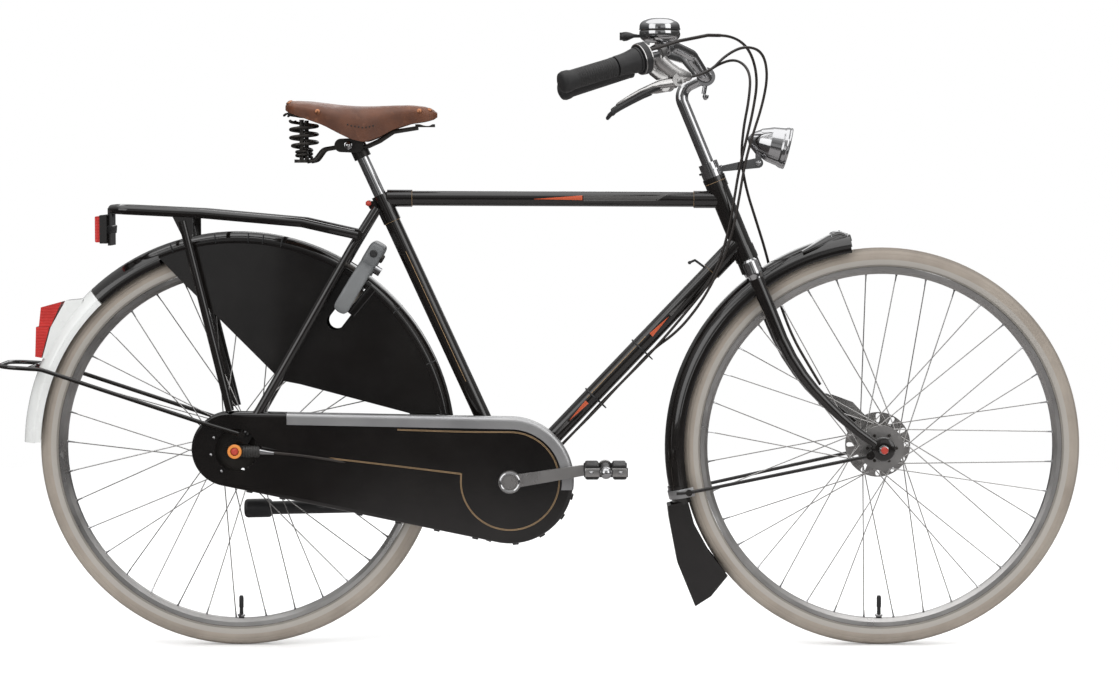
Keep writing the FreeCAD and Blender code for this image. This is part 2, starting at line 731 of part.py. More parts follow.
grip_start = Vector(180, -225, 1041)
grip_end = Vector(37, -300, 996)
grip_way = (grip_end - grip_start).normalize()
bar_side = [
    Vector(287, -42, 1017),
    Vector(262, -95, 1051),
    Vector(224, -163, 1065),
    grip_start - grip_way * 16,
    grip_end - grip_way * 2,
]
bar_points = [both(point)[1] for point in reversed(bar_side)]
bar_points = bar_points + [bar_clamp + ACROSS * 27, bar_clamp - ACROSS * 27] + bar_side
handlebar = pipe(bar_points, size("bar_radius"), 45)
feature("handlebar", handlebar)


def on_grip(distance, side=-1):
    """A point on the grip's axis, past the shifter housing's inner face."""
    at = grip_start + grip_way * distance
    return Vector(at.x, -side * at.y, at.z)


def grip(from_distance, to_distance, side):
    """A grip with a bulbous end, bored for the bar."""
    start = on_grip(from_distance, side)
    end = on_grip(to_distance, side)
    along = (end - start).normalize()
    sleeve = rod(start, end - along * 8, size("grip_radius") - 1)
    sleeve = sleeve.fuse(rod(end - along * 10, end, size("grip_radius") + 1))
    inner = rod(start - along * 5, end - along * 2, size("bar_radius"))
    return sleeve.cut(inner)


grip_length = (grip_end - grip_start).Length
feature("grips", Part.makeCompound([grip(62, grip_length, -1), grip(16, grip_length, 1)]))
twist = rod(on_grip(15), on_grip(61.7), size("grip_radius") + 1.5)
twist = twist.fuse(rod(on_grip(15), on_grip(19), 22))
twist_bore = rod(on_grip(0), on_grip(80), size("bar_radius") + size("running_gap"))
feature("twist_grip", twist.cut(twist_bore))

# Brake brackets with cable barrels, and the shifter's housing on the bar
lever_pivot = Vector(232, -196, 1004)
lever_reach = Vector(118, -258, 950)
lever_line = lever_reach - lever_pivot
lever_axis = lever_line.cross(on_grip(0) - lever_pivot).normalize()
cable_way = Vector(0.87, 0.458, 0.183).normalize()
bar_way = (bar_side[3] - bar_side[2]).normalize()
bar_at_bracket = bar_side[2] + bar_way * 52
lever_bracket = rod(bar_at_bracket, lever_pivot, 8)
lever_bracket = lever_bracket.fuse(rod(bar_at_bracket - bar_way * 7, bar_at_bracket + bar_way * 7, 15))
lever_bracket = lever_bracket.fuse(rod(lever_pivot - lever_axis * 8.5, lever_pivot + lever_axis * 8.5, 11))
lever_bracket = lever_bracket.fuse(rod(lever_pivot, lever_pivot + cable_way * 17, 8))
lever_bracket = lever_bracket.fuse(rod(lever_pivot + cable_way * 17, lever_pivot + cable_way * 30, 4.5))
shift_cable_start = Vector(311, -131, 1082)
cable_guide = pipe([
    Vector(184.6, -240.7, 1052.6),
    Vector(236, -214, 1069),
    Vector(288, -162, 1081),
    shift_cable_start,
], size("cable_radius"))
lever_room = rod(lever_pivot - lever_axis * 5.2, lever_pivot + lever_axis * 5.2, 12)
lever_bracket = lever_bracket.cut([lever_room, handlebar])
lever_bracket = max(lever_bracket.Solids, key=lambda piece: piece.Volume)
lever_bracket = lever_bracket.fuse(rod(lever_pivot - lever_axis * 9.5, lever_pivot + lever_axis * 9.5, 2.5))
shifter_housing = rod(on_grip(0), on_grip(14.5), 27)
shifter_housing = shifter_housing.cut(rod(on_grip(-10), on_grip(30), size("bar_radius")))
right_bracket = lever_bracket.cut(shifter_housing)
shifter_housing = shifter_housing.fuse(cable_guide)
feature("bar_controls", Part.makeCompound([right_bracket, mirrored(lever_bracket), shifter_housing]))

# Brake levers, each a tapered blade on its pin
lever_hub = rod(lever_pivot - lever_axis * 5, lever_pivot + lever_axis * 5, 8)
lever_sections = []
for share, half_width in ((0.04, 4.5), (0.2, 4.8), (0.4, 5.2), (0.6, 5.8), (0.8, 6.5), (1.0, 7.5)):
    at = lever_pivot + lever_line * share
    at = at - (on_grip(0) - lever_pivot) * (0.22 * math.sin(math.pi * share))
    lever_sections.append(Part.Wire([Part.Circle(at, lever_line, half_width).toShape()]))
lever = Part.makeLoft(lever_sections, True, True)
tip = Part.makeSphere(8.5, lever_reach, lever_line)
lever = lever.fuse([lever_hub, tip])
pin_hole = rod(lever_pivot - lever_axis * 20, lever_pivot + lever_axis * 20, 2.5 + size("running_gap"))
lever = lever.cut(pin_hole)
feature("right_brake_lever", lever)
feature("left_brake_lever", mirrored(lever))

# Bell: a base clamped on the bar, a domed cap and a thumb lever
bell_at = Vector(212, -180, 1072)
bell = turned(
    "bell_cap",
    (
        ("Sizes.bell_radius - 2", "12.5"),
        ("Sizes.bell_radius", "12.5"),
        ("Sizes.bell_radius - 1", "22"),
        ("Sizes.bell_radius - 6", "31"),
        ("Sizes.bell_radius - 16", "37.5"),
        ("0", "40"),
        ("0", "38"),
        ("Sizes.bell_radius - 17", "35.5"),
        ("Sizes.bell_radius - 8", "29.5"),
        ("Sizes.bell_radius - 3", "21"),
    ),
    bell_at,
    Vector(0, 0, 1),
)
doc.recompute()
bell_base = rod(bell_at, bell_at + Vector(0, 0, 12), size("bell_radius") - 1)
bell_post = rod(bell_at + Vector(0, 0, 12), bell_at + Vector(0, 0, 38.5), 3)
bell_foot = rod(bar_side[2] + bar_way * 16, bar_side[2] + bar_way * 30, 14.5)
bell_foot = bell_foot.fuse(rod(bell_at - Vector(0, 0, 10), bell_at, 8))
lever_gap = Part.makeBox(40, 60, 6, bell_at + Vector(-52, -32, 3))
bell_base = bell_base.cut(lever_gap).fuse([bell_post.cut(bell.Shape), bell_foot]).cut(handlebar)
bell_base = max(bell_base.Solids, key=lambda piece: piece.Volume)
bell_pin_at = bell_at + Vector(-20, -18, 3)
bell_base = bell_base.fuse(rod(bell_pin_at, bell_pin_at + Vector(0, 0, 6), 2.5))
feature("bell", Part.makeCompound([bell.Shape, bell_base]))
thumb = Part.makeBox(46, 9, 5, bell_pin_at + Vector(-50, -4.5, 0.5))
thumb = thumb.fuse([
    rod(bell_pin_at + Vector(0, 0, 0.5), bell_pin_at + Vector(0, 0, 5.5), 5.5),
    rod(bell_pin_at + Vector(-50, 0, -4), bell_pin_at + Vector(-50, 0, 9), 6),
])
thumb = thumb.cut(rod(bell_pin_at, bell_pin_at + Vector(0, 0, 10), 2.5 + size("running_gap")))
feature("bell_lever", thumb)

# Front mudguard stays and their clip across the guard
clip_band = mudguard("clip", front_axle, 190.8, 194.2)
clip_band.Base.setExpression("Radius2", "Sizes.mudguard_section_radius + 2")
clip_core = clip_band.Tool.Shapes[0]
clip_core.setExpression("Radius2", "Sizes.mudguard_section_radius")
doc.recompute()
stay_foot = about(front_axle, 352, 193, 36)
stay_eye = Vector(583, 58.5, 345)
front_stay = rod(stay_foot, stay_eye, 3.2)
eye = rod(stay_eye - ACROSS * 3.4, stay_eye + ACROSS * 3, 7)
foot = rod(stay_foot - ACROSS * 5, stay_foot + ACROSS * 4, 6)
side_tab = rod(about(front_axle, 374, 192.5, 33), stay_foot - ACROSS * 2, 3)
front_stay = front_stay.fuse([eye, foot, side_tab])
stay_set = front_stay.fuse([mirrored(front_stay), clip_band.Shape])
stay_set = stay_set.cut([front_guard, flap, fork])
stay_set = max(stay_set.Solids, key=lambda piece: piece.Volume)
feature("front_mudguard_stays", stay_set)

# Front axle with nuts, and the roller brake with its cooling disc and reaction arm
front_end = fork_y + 20
front_nuts = rod(front_axle - ACROSS * front_end, front_axle + ACROSS * front_end, size("axle_radius"))
for side in (1, -1):
    start = front_axle + ACROSS * (side * (fork_y + 5))
    front_nuts = front_nuts.fuse(rod(start, start + ACROSS * (side * 8), 8.5))
    inner = front_axle + ACROSS * (side * (fork_y - 3))
    front_nuts = front_nuts.fuse(rod(inner, front_axle + ACROSS * (side * fork_y), 8))
feature("front_axle", front_nuts.cut(stay_set))


def roller_brake(axle, inner_y, outer_y, disc_radius, drum_radius):
    """A brake drum beside a hub, with a cooling disc that has oval holes."""
    drum = rod(axle + ACROSS * inner_y, axle + ACROSS * outer_y, drum_radius)
    middle = (inner_y + outer_y) / 2
    disc = rod(axle + ACROSS * (middle - 1.5), axle + ACROSS * (middle + 1.5), disc_radius)
    holes = []
    for k in range(12):
        near = about(axle, drum_radius + 8, 30 * k)
        far = about(axle, disc_radius - 6, 30 * k)
        holes.append(slab(hull_of_circles(near, 3, far, 4), middle - 4, middle + 4))
    return drum.fuse(disc.cut(holes))


front_brake = roller_brake(front_axle, 29.5, 46.5, 58.5, 35)
reaction_arm = slab(
    polygon(((606, 385), (562, 432), (524, 446), (512, 440), (545, 392), (575, 335))), 43, 46
)
arm_clamp = rod(Vector(513, 43, 434), Vector(513, 62, 434), 13)
arm_clamp = arm_clamp.fuse(rod(Vector(505, 62, 462), Vector(509.4, 60.7, 448), 4.5))
front_brake = front_brake.fuse([reaction_arm, arm_clamp]).cut([fork, axle_hole])
front_brake = max(front_brake.Solids, key=lambda piece: piece.Volume)
feature("front_brake", front_brake.cut(front_nuts))

# Rear axle with nuts, the shifter's barrel and the rear brake
rear_nuts = rod(rear_axle - ACROSS * 80, rear_axle + ACROSS * 80, size("axle_radius"))
for side in (1, -1):
    start = rear_axle + ACROSS * (side * plate_y)
    rear_nuts = rear_nuts.fuse(rod(start, start + ACROSS * (side * 9), 9))
    inner = rear_axle + ACROSS * (side * (face_y - 4))
    rear_nuts = rear_nuts.fuse(rod(inner, rear_axle + ACROSS * (side * face_y), 9))
axle_ring = rod(rear_axle - ACROSS * 76, rear_axle - ACROSS * 81, 11)
shift_barrel = rod(Vector(-523, -86, 355.5), Vector(-494.6, -86, 355.5), 9)
shift_block = Part.makeBox(22, 16, 18, Vector(-540, -92, 347))
barrel_set = rod(rear_axle - ACROSS * 78, rear_axle - ACROSS * 90, 7.5)
rear_fittings = rear_nuts.fuse([axle_ring, shift_barrel, shift_block, barrel_set])
feature("rear_axle", rear_fittings)
rear_brake = roller_brake(rear_axle, 27.6, 48, 56, 36)
torque_arm = slab(hull_of_circles(rear_axle, 16, Vector(-400, 0, 341), 8), 47.5, 51.5)
torque_hook = slab(hull_of_circles(Vector(-412, 0, 338), 8, Vector(-416, 0, 320), 6), 47.5, 51.5)
torque_arm = torque_arm.fuse(torque_hook)
torque_arm = torque_arm.fuse(rod(Vector(-404.7, 49.5, 316), Vector(-418, 49.5, 318), 5))
stay_grip = rod(Vector(-404, 38, 341), Vector(-396, 60, 341), 13)
rear_brake = rear_brake.fuse([torque_arm, stay_grip])
rear_brake = rear_brake.cut([stays, rod(rear_axle, rear_axle + ACROSS * 80, size("axle_radius"))])
rear_brake = max(rear_brake.Solids, key=lambda piece: piece.Volume)
feature("rear_brake", rear_brake.cut(rear_fittings))

# Cranks, chainring, rear sprocket and chain
chain_y = size("chainline_y")
ring_radius = size("chainring_teeth") * size("chain_pitch") / (2 * math.pi)
cog_radius = size("sprocket_teeth") * size("chain_pitch") / (2 * math.pi)


TOOTH = ((0.0, -3.6), (0.3, -2), (0.5, 3), (0.7, -2))


def toothed_plate(centre, teeth, pitch_radius, thickness):
    """A sprocket plate in the chain's plane, with plain pointed teeth."""
    points = []
    for k in range(teeth):
        for share, height in TOOTH:
            at = about(centre, pitch_radius + height, 360.0 / teeth * (k + share))
            points.append((at.x, at.z))
    return slab(polygon(points), chain_y - thickness / 2, chain_y + thickness / 2)


chainring = toothed_plate(crank_centre, int(size("chainring_teeth")), ring_radius, 2)
windows = []
for k in range(5):
    near = about(crank_centre, 38, 72 * k + 36)
    far = about(crank_centre, 55, 72 * k + 36)
    windows.append(slab(hull_of_circles(near, 9, far, 11), chain_y - 5, chain_y + 5))
chainring = chainring.cut(windows)
crank_face = size("crank_face_y")
spindle = rod(crank_centre - ACROSS * (crank_face + 13), crank_centre + ACROSS * (crank_face + 13), 8)
chainring = chainring.fuse(rod(crank_centre - ACROSS * 42, crank_centre - ACROSS * 69.7, 15)).cut(spindle)
feature("chainring", chainring)

crank_turn = size("crank_angle")
arm_end = about(crank_centre, size("crank_length"), crank_turn)
arm_thick = size("crank_arm_thickness")
arm = slab(hull_of_circles(crank_centre, 12, arm_end, 8.5), -crank_face - arm_thick, -crank_face)
boss = rod(crank_centre - ACROSS * crank_face, crank_centre - ACROSS * (crank_face + 16), 20)
eye_boss = rod(arm_end - ACROSS * crank_face, arm_end - ACROSS * (crank_face + arm_thick + 2), 12)
cap_recess = rod(crank_centre - ACROSS * (crank_face + 13), crank_centre - ACROSS * (crank_face + 20), 13)
dust_cap = rod(crank_centre - ACROSS * (crank_face + 13), crank_centre - ACROSS * (crank_face + 15), 12)
crank = arm.fuse([boss, eye_boss]).cut([cap_recess, spindle])
pedal_hole = rod(arm_end - ACROSS * 60, arm_end - ACROSS * 100, 6)
crank = crank.cut(pedal_hole)
pedal_inner_y = crank_face + arm_thick + 4
pedal_outer_y = pedal_inner_y + size("pedal_length")
pedal_axle = rod(arm_end - ACROSS * crank_face, arm_end - ACROSS * (pedal_outer_y - 2), 6)
half_turn = Placement(Vector(0, 0, 0), Rotation(Vector(0, 1, 0), 180), crank_centre)


def other_side(shape):
    """The left crank's copy of a right-hand piece: mirrored, then turned by half a turn."""
    copy = mirrored(shape)
    copy.Placement = half_turn.multiply(copy.Placement)
    return copy


arms = [crank, dust_cap, pedal_axle]
arms = arms + [other_side(piece) for piece in arms]
feature("crank_arms", Part.makeCompound(arms + [spindle]))

# Block pedals: barrel and end plates, with two rubber blocks
barrel = rod(arm_end - ACROSS * pedal_inner_y, arm_end - ACROSS * (pedal_outer_y + 4), 9)
plates = []
for y in (pedal_inner_y + 1, pedal_outer_y - 4):
    plates.append(Part.makeBox(76, 3, 16, arm_end + Vector(-38, -y - 3, -8)))
pedal_cap = Part.makeSphere(9, arm_end - ACROSS * (pedal_outer_y + 4))
pedal_bore = rod(arm_end - ACROSS * (pedal_inner_y - 5), arm_end - ACROSS * (pedal_outer_y - 2), 6.05)
pedal = barrel.fuse(plates + [pedal_cap])
for side in (-1, 1):
    block = Part.makeBox(24, size("pedal_length") - 8, 25)
    block.translate(arm_end + Vector(side * 24 - 12, 4 - pedal_outer_y, -12.5))
    block = block.makeFillet(4, [edge for edge in block.Edges if abs(edge.tangentAt(0).y) > 0.9])
    grooves = []
    for k in range(7):
        at = arm_end + Vector(side * 24 - 13, 12 - pedal_outer_y + 10.5 * k, 0)
        grooves.append(Part.makeBox(26, 3, 4, at + Vector(0, 0, 10.5)))
        grooves.append(Part.makeBox(26, 3, 4, at + Vector(0, 0, -14.5)))
    pedal = pedal.fuse(block.cut(grooves))
pedal = pedal.cut(pedal_bore)
feature("right_pedal", pedal)
feature("left_pedal", other_side(pedal))

cog = toothed_plate(rear_axle, int(size("sprocket_teeth")), cog_radius, 2)
cog = cog.fuse(rod(rear_axle - ACROSS * 34.2, rear_axle - ACROSS * 50, 15))
cog_bore = size("axle_radius") + size("running_gap")
cog = cog.cut(rod(rear_axle - ACROSS * 20, rear_axle - ACROSS * 60, cog_bore))
feature("rear_sprocket", cog)


def chain_band(inner, outer, from_y, to_y):
    """The band between two offsets of the chain's pitch line."""
    outside = hull_of_circles(rear_axle, cog_radius + outer, crank_centre, ring_radius + outer)
    inside = hull_of_circles(rear_axle, cog_radius + inner, crank_centre, ring_radius + inner)
    return slab(outside, from_y, to_y).cut(slab(inside, from_y - 1, to_y + 1))


chain = chain_band(-3, 4.5, chain_y - 4, chain_y + 4)
tooth_way = chain_band(-4, 3.4, chain_y - 1.4, chain_y + 1.4)
feature("chain", chain.cut(tooth_way))

# Cables: each a whole cord from its lever to its far end
cable = size("cable_radius")
down_side = Vector(down_tube_along.z, 0, -down_tube_along.x)


def under_down_tube(along, reach, side):
    """A point below the down tube, a distance along from its lower end."""
    return down_tube_low + down_tube_along * along + down_side * reach + ACROSS * side


def clipped_run(first, side):
    """The run below the down tube, sagging a little between the clips."""
    near = size("down_tube_radius") + 5
    return [under_down_tube(first - 64 * k, near + 2 * (k % 2), side) for k in range(first // 64)]


def cord(label, points):
    """A cable held all the way: straight runs and tangent arcs."""
    path, tightest = route(points)
    solid = pipe(points, cable)
    expected = math.pi * cable**2 * path.Length
    print("%s: %.0f long, tightest arc %.0f, volume ratio %.4f" % (
        label, path.Length, tightest, solid.Volume / expected
    ))
    return feature(label, solid)


shift_cable_line = [
    shift_cable_start,
    Vector(334, -100, 1083),
    Vector(368, -50, 1062),
    Vector(384, -24, 1012),
    Vector(376, -22, 955),
    Vector(363, -26, 900),
    Vector(350, -29, 846),
    Vector(342, -31, 795),
    Vector(333, -31, 743),
    Vector(318, -29, 690),
    Vector(296, -24, 644),
    Vector(266, -12, 606),
] + clipped_run(385, -7) + [
    Vector(-24, -8, 272),
    Vector(-80, -14, 268),
    Vector(-128, -20, 283),
    Vector(-178, -30, 296),
    Vector(-226, -49, 306),
    Vector(-274, -59, 318),
    Vector(-330, -61, 331),
    Vector(-382, -68, 341),
    Vector(-440, -76, 350),
    Vector(-494, -86, 355.5),
]
cord("shift_cable", shift_cable_line)
rear_brake_cable_end = Vector(-404, 49.5, 316)
cord("rear_brake_cable", [
    lever_pivot + cable_way * 30,
    lever_pivot + cable_way * 66,
    Vector(320, -136, 1048),
    Vector(356, -92, 1066),
    Vector(390, -52, 1058),
    Vector(401, -34, 1018),
    Vector(392, -29, 965),
    Vector(374, -32, 910),
    Vector(360, -37, 858),
    Vector(351, -39, 802),
    Vector(341, -40, 748),
    Vector(325, -39, 696),
    Vector(303, -36, 648),
    under_down_tube(452, 25, -30),
    under_down_tube(396, 30, -13),
] + clipped_run(340, 7) + [
    Vector(-24, 10, 272),
    Vector(-80, 20, 268),
    Vector(-136, 32, 285),
    Vector(-194, 41.5, 301),
    Vector(-254, 45, 307),
    Vector(-320, 46, 314),
    Vector(-366, 48, 312),
    rear_brake_cable_end,
])
front_brake_cable_end = Vector(505, 62, 462)
cord("front_brake_cable", [
    both(lever_pivot + cable_way * 30)[1],
    both(lever_pivot + cable_way * 66)[1],
    Vector(322, 132, 1042),
    Vector(354, 90, 1050),
    Vector(376, 48, 1025),
    Vector(372, 30, 975),
    Vector(362, 30, 925),
    Vector(358, 34, 870),
    Vector(368, 40, 815),
    Vector(386, 46, 760),
    Vector(404, 54, 705),
    Vector(418, 60, 650),
    Vector(436, 62, 595),
    Vector(456, 63, 545),
    Vector(482, 64, 500),
    front_brake_cable_end,
])
cable_room = pipe(shift_cable_line, cable + 0.5)

# Chaincase: two half shells with the stays' slots, a bright trim strip and the rear cap
case_rear = Vector(size("case_rear_x"), 0, size("case_rear_z"))
outer_y = size("case_outer_y")
inner_y = size("case_inner_y")
wall = size("case_wall")
seam_y = -50
rear_round = size("case_rear_radius")
front_round = size("case_front_radius")
trim_thick = 1.2


def case_outline(grow=0):
    """The chaincase's outline, grown all round."""
    return hull_of_circles(case_rear, rear_round + grow, crank_centre, front_round + grow)


shell = slab(case_outline(), outer_y, inner_y)
shell = shell.makeFillet(7, [edge for edge in shell.Edges if abs(edge.CenterOfMass.y - outer_y) < 0.1])
hollow = slab(case_outline(-wall), outer_y + wall, inner_y - wall)
hollow_rim = [edge for edge in hollow.Edges if abs(edge.CenterOfMass.y - outer_y - wall) < 0.1]
hollow = hollow.makeFillet(5.5, hollow_rim)
case = shell.cut(hollow)
room = []
for line in (stay_line, seat_stay_line):
    right = [both(point)[1] for point in line]
    room.append(pipe(right, stay + 1.6, 120))
rack_leg_line = [Vector(-630, -60, 760), Vector(-595, -59, 616), Vector(-549, -56, 425)]
room.append(pipe(rack_leg_line + [Vector(-541, -56, 392)], size("leg_tube_radius") + 1.6, 60))
room.append(rod(rear_axle, rear_axle - ACROSS * 40, 45))
room.append(rod(crank_centre, crank_centre - ACROSS * 40, size("crank_shell_radius") + 1.5))
room.append(rod(crank_centre, crank_centre - ACROSS * 90, 17))
room.append(cable_room)
front_block = Part.makeBox(900, 200, 900, Vector(-700, seam_y, 0))
inner_half = case.common(front_block).cut(room)
collar_at = Vector(-250, -41, 323)
collar_way = Vector(-430, -52, 344) - Vector(-131, -32.5, 309.5)
collar_way.normalize()
collar = rod(collar_at - collar_way * 7, collar_at + collar_way * 7, stay + 3.5)
inner_half = inner_half.fuse(collar.cut(stays))
inner_half = max(inner_half.Solids, key=lambda piece: piece.Volume)
feature("chaincase_inner", inner_half)
window = rod(rear_axle - ACROSS * 50, rear_axle - ACROSS * 90, 38)
outer_half = case.cut([front_block, window] + room)
outer_half = max(outer_half.Solids, key=lambda piece: piece.Volume)
feature("chaincase_outer", outer_half)

cap_outline = hull_of_circles(case_rear, rear_round - 4, Vector(-500, 0, 352), 60)
cap = slab(cap_outline, outer_y - 1.8, outer_y).cut(window)
cap_bolts = []
for angle in (150, 190, 235):
    at = about(rear_axle, 45, angle, outer_y - 1.8)
    cap_bolts.append(rod(at, at - ACROSS * 3.2, 4))
feature("chaincase_rear_cap", cap.fuse(cap_bolts))

trim = slab(case_outline(trim_thick), outer_y - trim_thick, outer_y + 16)
trim_rim = [edge for edge in trim.Edges if abs(edge.CenterOfMass.y - outer_y + trim_thick) < 0.1]
trim = trim.makeFillet(7 + trim_thick, trim_rim)
trim = trim.cut([shell, slab(case_outline(-20), outer_y - 10, outer_y), cap])
trim = trim.common(Part.makeBox(520, 100, 175, Vector(-448, -100, 285)))
feature("chaincase_trim", max(trim.Solids, key=lambda piece: piece.Volume))

# Rear rack: a tube hoop on two legs, with cross bars and the reflector's housing
rack = size("rack_tube_radius")
half = size("rack_half_width")
rail_line = [
    Vector(-322, 54, 735),
    Vector(-372, 57, 746),
    Vector(-420, 58, 757),
    Vector(-501, half, 764.3),
    Vector(-599, half, 773),
    Vector(-757, half, 780.6),
]
hoop = pipe(rail_line + [both(point)[1] for point in reversed(rail_line)], rack, 32)
legs = []
for side in (1, -1):
    leg_points = [Vector(point.x, side * -point.y, point.z) for point in rack_leg_line]
    legs.append(pipe(leg_points, size("leg_tube_radius"), 60))
    tab = slab(hull_of_circles(Vector(-541, 0, 393), 7.5, Vector(-527, 0, 384), 8), plate_y, plate_y + 3.3)
    legs.append(tab if side > 0 else mirrored(tab))
    end = rail_line[0]
    legs.append(rod(Vector(-323, side * 44, 735), Vector(-323, side * 60, 735), 10))
bars = []
for x, z in ((-450, 760), (-560, 769.6), (-670, 776.5)):
    bars.append(rod(Vector(x, -half, z), Vector(x, half, z), 4))
for y in (-20, 20):
    bars.append(pipe([Vector(-450, y, 760), Vector(-560, y, 769.6), Vector(-750, y, 780.3)], 3.5))
reflector_box = Part.makeBox(12.4, 92, 50, Vector(-778, -46, 720))
gusset_stock = slab(polygon(((-648, 770), (-612, 772), (-612, 729), (-628, 729))), half - 3, half + 3)
reflector_hanger = Part.makeBox(5, 60, 66, Vector(-766, -30, 716))
rack_solid = hoop.fuse(legs + bars + [reflector_box, reflector_hanger])
rack_solid = rack_solid.fuse([gusset_stock, mirrored(gusset_stock)])
rack_solid = rack_solid.cut([seat_stay, mirrored(seat_stay)])
rack_solid = max(rack_solid.Solids, key=lambda piece: piece.Volume)
feature("rear_rack", rack_solid)
reflector = Part.makeBox(9, 88, 46, Vector(-787, -44, 722))
reflector = reflector.makeFillet(3, [edge for edge in reflector.Edges if edge.CenterOfMass.x < -786])
feature("rear_lenses", Part.makeCompound([tail_lenses, reflector]))

# Rear mudguard loop: one bent rod round the back, bolted beside both dropouts
loop_side = [
    Vector(-527, 72, 384),
    Vector(-598, 72, 405.5),
    Vector(-880, 72, 499),
    Vector(-958, 72, 504),
]
loop = pipe(loop_side + [both(point)[1] for point in reversed(loop_side)], size("loop_rod_radius"), 60)
for side in (1, -1):
    start = Vector(-527, side * (plate_y + 3.3), 384)
    loop = loop.fuse(rod(start, Vector(-527, side * 78, 384), 6))
loop_cross = Vector(-902, 0, 500.6)
loop = loop.fuse([
    rod(loop_cross - ACROSS * 72, loop_cross + ACROSS * 72, size("loop_rod_radius")),
    rod(loop_cross, loop_cross + (rear_axle - loop_cross).normalize() * 12, 5).cut(rear_guard_body),
])
feature("rear_stay_loop", loop.cut([rack_solid, stays, seat_stay, mirrored(seat_stay)]))

# Coat guards: one panel each side, under the mudguard's edge, with the lock's slot
start_at = about(rear_axle, 366, 9.4)
end_at = about(rear_axle, 366, 112.2)
lower_edge = [Vector(x, 0, z) for x, z in ((-228.5, 417), (-427, 470), (-460.5, 476.4), (-640, 657))]
corner_points = [start_at] + lower_edge + [end_at]
edges = []
for k in range(len(corner_points) - 1):
    edges.append(Part.LineSegment(corner_points[k], corner_points[k + 1]).toShape())
edges.append(Part.Arc(end_at, about(rear_axle, 366, 60), start_at).toShape())
guard_face = Part.Wire(edges)
panel = slab(guard_face, 29.3, 30.7)
slot_low = about(rear_axle, 284, 52.5)
slot_high = about(rear_axle, 380, 52.5)
panel = panel.cut(slab(hull_of_circles(slot_low, 15, slot_high, 15.01), 20, 40))
panel = panel.cut([tail_band.Shape, parts["rear_mudguard"].Shape, seat_stay, stays])
panel = max(panel.Solids, key=lambda piece: piece.Volume)
feature("coat_guards", pair(panel))

# Ring lock on the seat stays, and its sliding shackle
lock_centre = Vector(-333.6, 0, 637.1)
lock_up = Vector(0.5136, 0, 0.858)
lock_ahead = Vector(0.858, 0, -0.5136)
lock_frame = Placement(lock_centre, Rotation(ACROSS, lock_up, lock_ahead, "XYZ"))


def arc_sector(inner, outer, from_angle, to_angle):
    """A flat ring sector in the lock's own plane, from the left over the top."""
    middle = (from_angle + to_angle) / 2
    corners = []
    for radius, angles in ((outer, (from_angle, middle, to_angle)), (inner, (to_angle, middle, from_angle))):
        corners.append([
            Vector(radius * math.cos(math.radians(a)), radius * math.sin(math.radians(a)), 0) for a in angles
        ])
    (a, b, c), (d, e, f) = corners
    return Part.Face(Part.Wire([
        Part.Arc(a, b, c).toShape(),
        Part.LineSegment(c, d).toShape(),
        Part.Arc(d, e, f).toShape(),
        Part.LineSegment(f, a).toShape(),
    ]))


thick = size("lock_half_thickness")
ring = arc_sector(size("lock_inner_radius"), size("lock_outer_radius"), -44, 224)
ring.translate(Vector(0, 0, -thick))
ring = ring.extrude(Vector(0, 0, 2 * thick))
crown_box = Part.makeBox(88, 50, 2 * thick, Vector(-44, 46, -thick))
outer_corners = [e for e in crown_box.Edges if abs(e.tangentAt(0).z) > 0.9 and e.CenterOfMass.y > 60]
crown_box = crown_box.makeFillet(16, outer_corners)
inside = Part.makeCylinder(size("lock_inner_radius"), 4 * thick, Vector(0, 0, -2 * thick))
channel = Part.makeTorus(size("lock_ring_radius"), size("shackle_radius") + 0.6)
lever_way = arc_sector(size("lock_ring_radius") - 3.6, size("lock_ring_radius") + 3.6, 112, 240)
lever_way = lever_way.extrude(Vector(0, 0, 40))
lock_body = ring.fuse(crown_box.cut(inside)).cut([channel, lever_way])
lugs = []
for side in (1, -1):
    lugs.append(Part.makeCylinder(5, 26, Vector(side * 44, 34, -thick - 26)))
lock_body = lock_body.fuse(lugs).fuse(Part.makeCylinder(9, 4, Vector(-24, 74, thick)))
lock_body.Placement = lock_frame
lock_body = lock_body.cut([seat_stay, mirrored(seat_stay)])
lock_body = max(lock_body.Solids, key=lambda piece: piece.Volume)
feature("ring_lock_body", lock_body)
shackle_from, shackle_to = 115, 219
shackle_sweep = shackle_to - shackle_from
bar = Part.makeTorus(
    size("lock_ring_radius"), size("shackle_radius"), Vector(0, 0, 0), Vector(0, 0, 1), 0, 360, shackle_sweep
)
bar.Placement = Placement(Vector(0, 0, 0), Rotation(Vector(0, 0, 1), shackle_from))
knob_turn = math.radians(shackle_from + 6)
knob_at = Vector(math.cos(knob_turn), math.sin(knob_turn), 0) * size("lock_ring_radius")
knob = Part.makeCylinder(2.8, thick + 4, knob_at)
knob = knob.fuse(Part.makeCylinder(8, 12, knob_at + Vector(0, 0, thick + 0.5)))
shackle = bar.fuse(knob)
shackle.Placement = lock_frame.multiply(shackle.Placement)
feature("lock_shackle", shackle)

# Seat post and saddle
saddle_z = 889
post_top = seat_tube_top + seat_up * ((saddle_z + 6 - seat_tube_top.z) / seat_up.z)
post = rod(seat_tube_top - seat_up * 150, post_top, size("seat_post_radius"))
feature("seat_post", post)

STATIONS = (
    (-449, 66, 960, 952),
    (-436, 84, 970, 949),
    (-405, 88, 971, 940),
    (-360, 76, 965, 921),
    (-310, 52, 962, 899),
    (-262, 34, 963, 919),
    (-220, 24, 963, 932),
    (-185, 14, 951, 940),
)


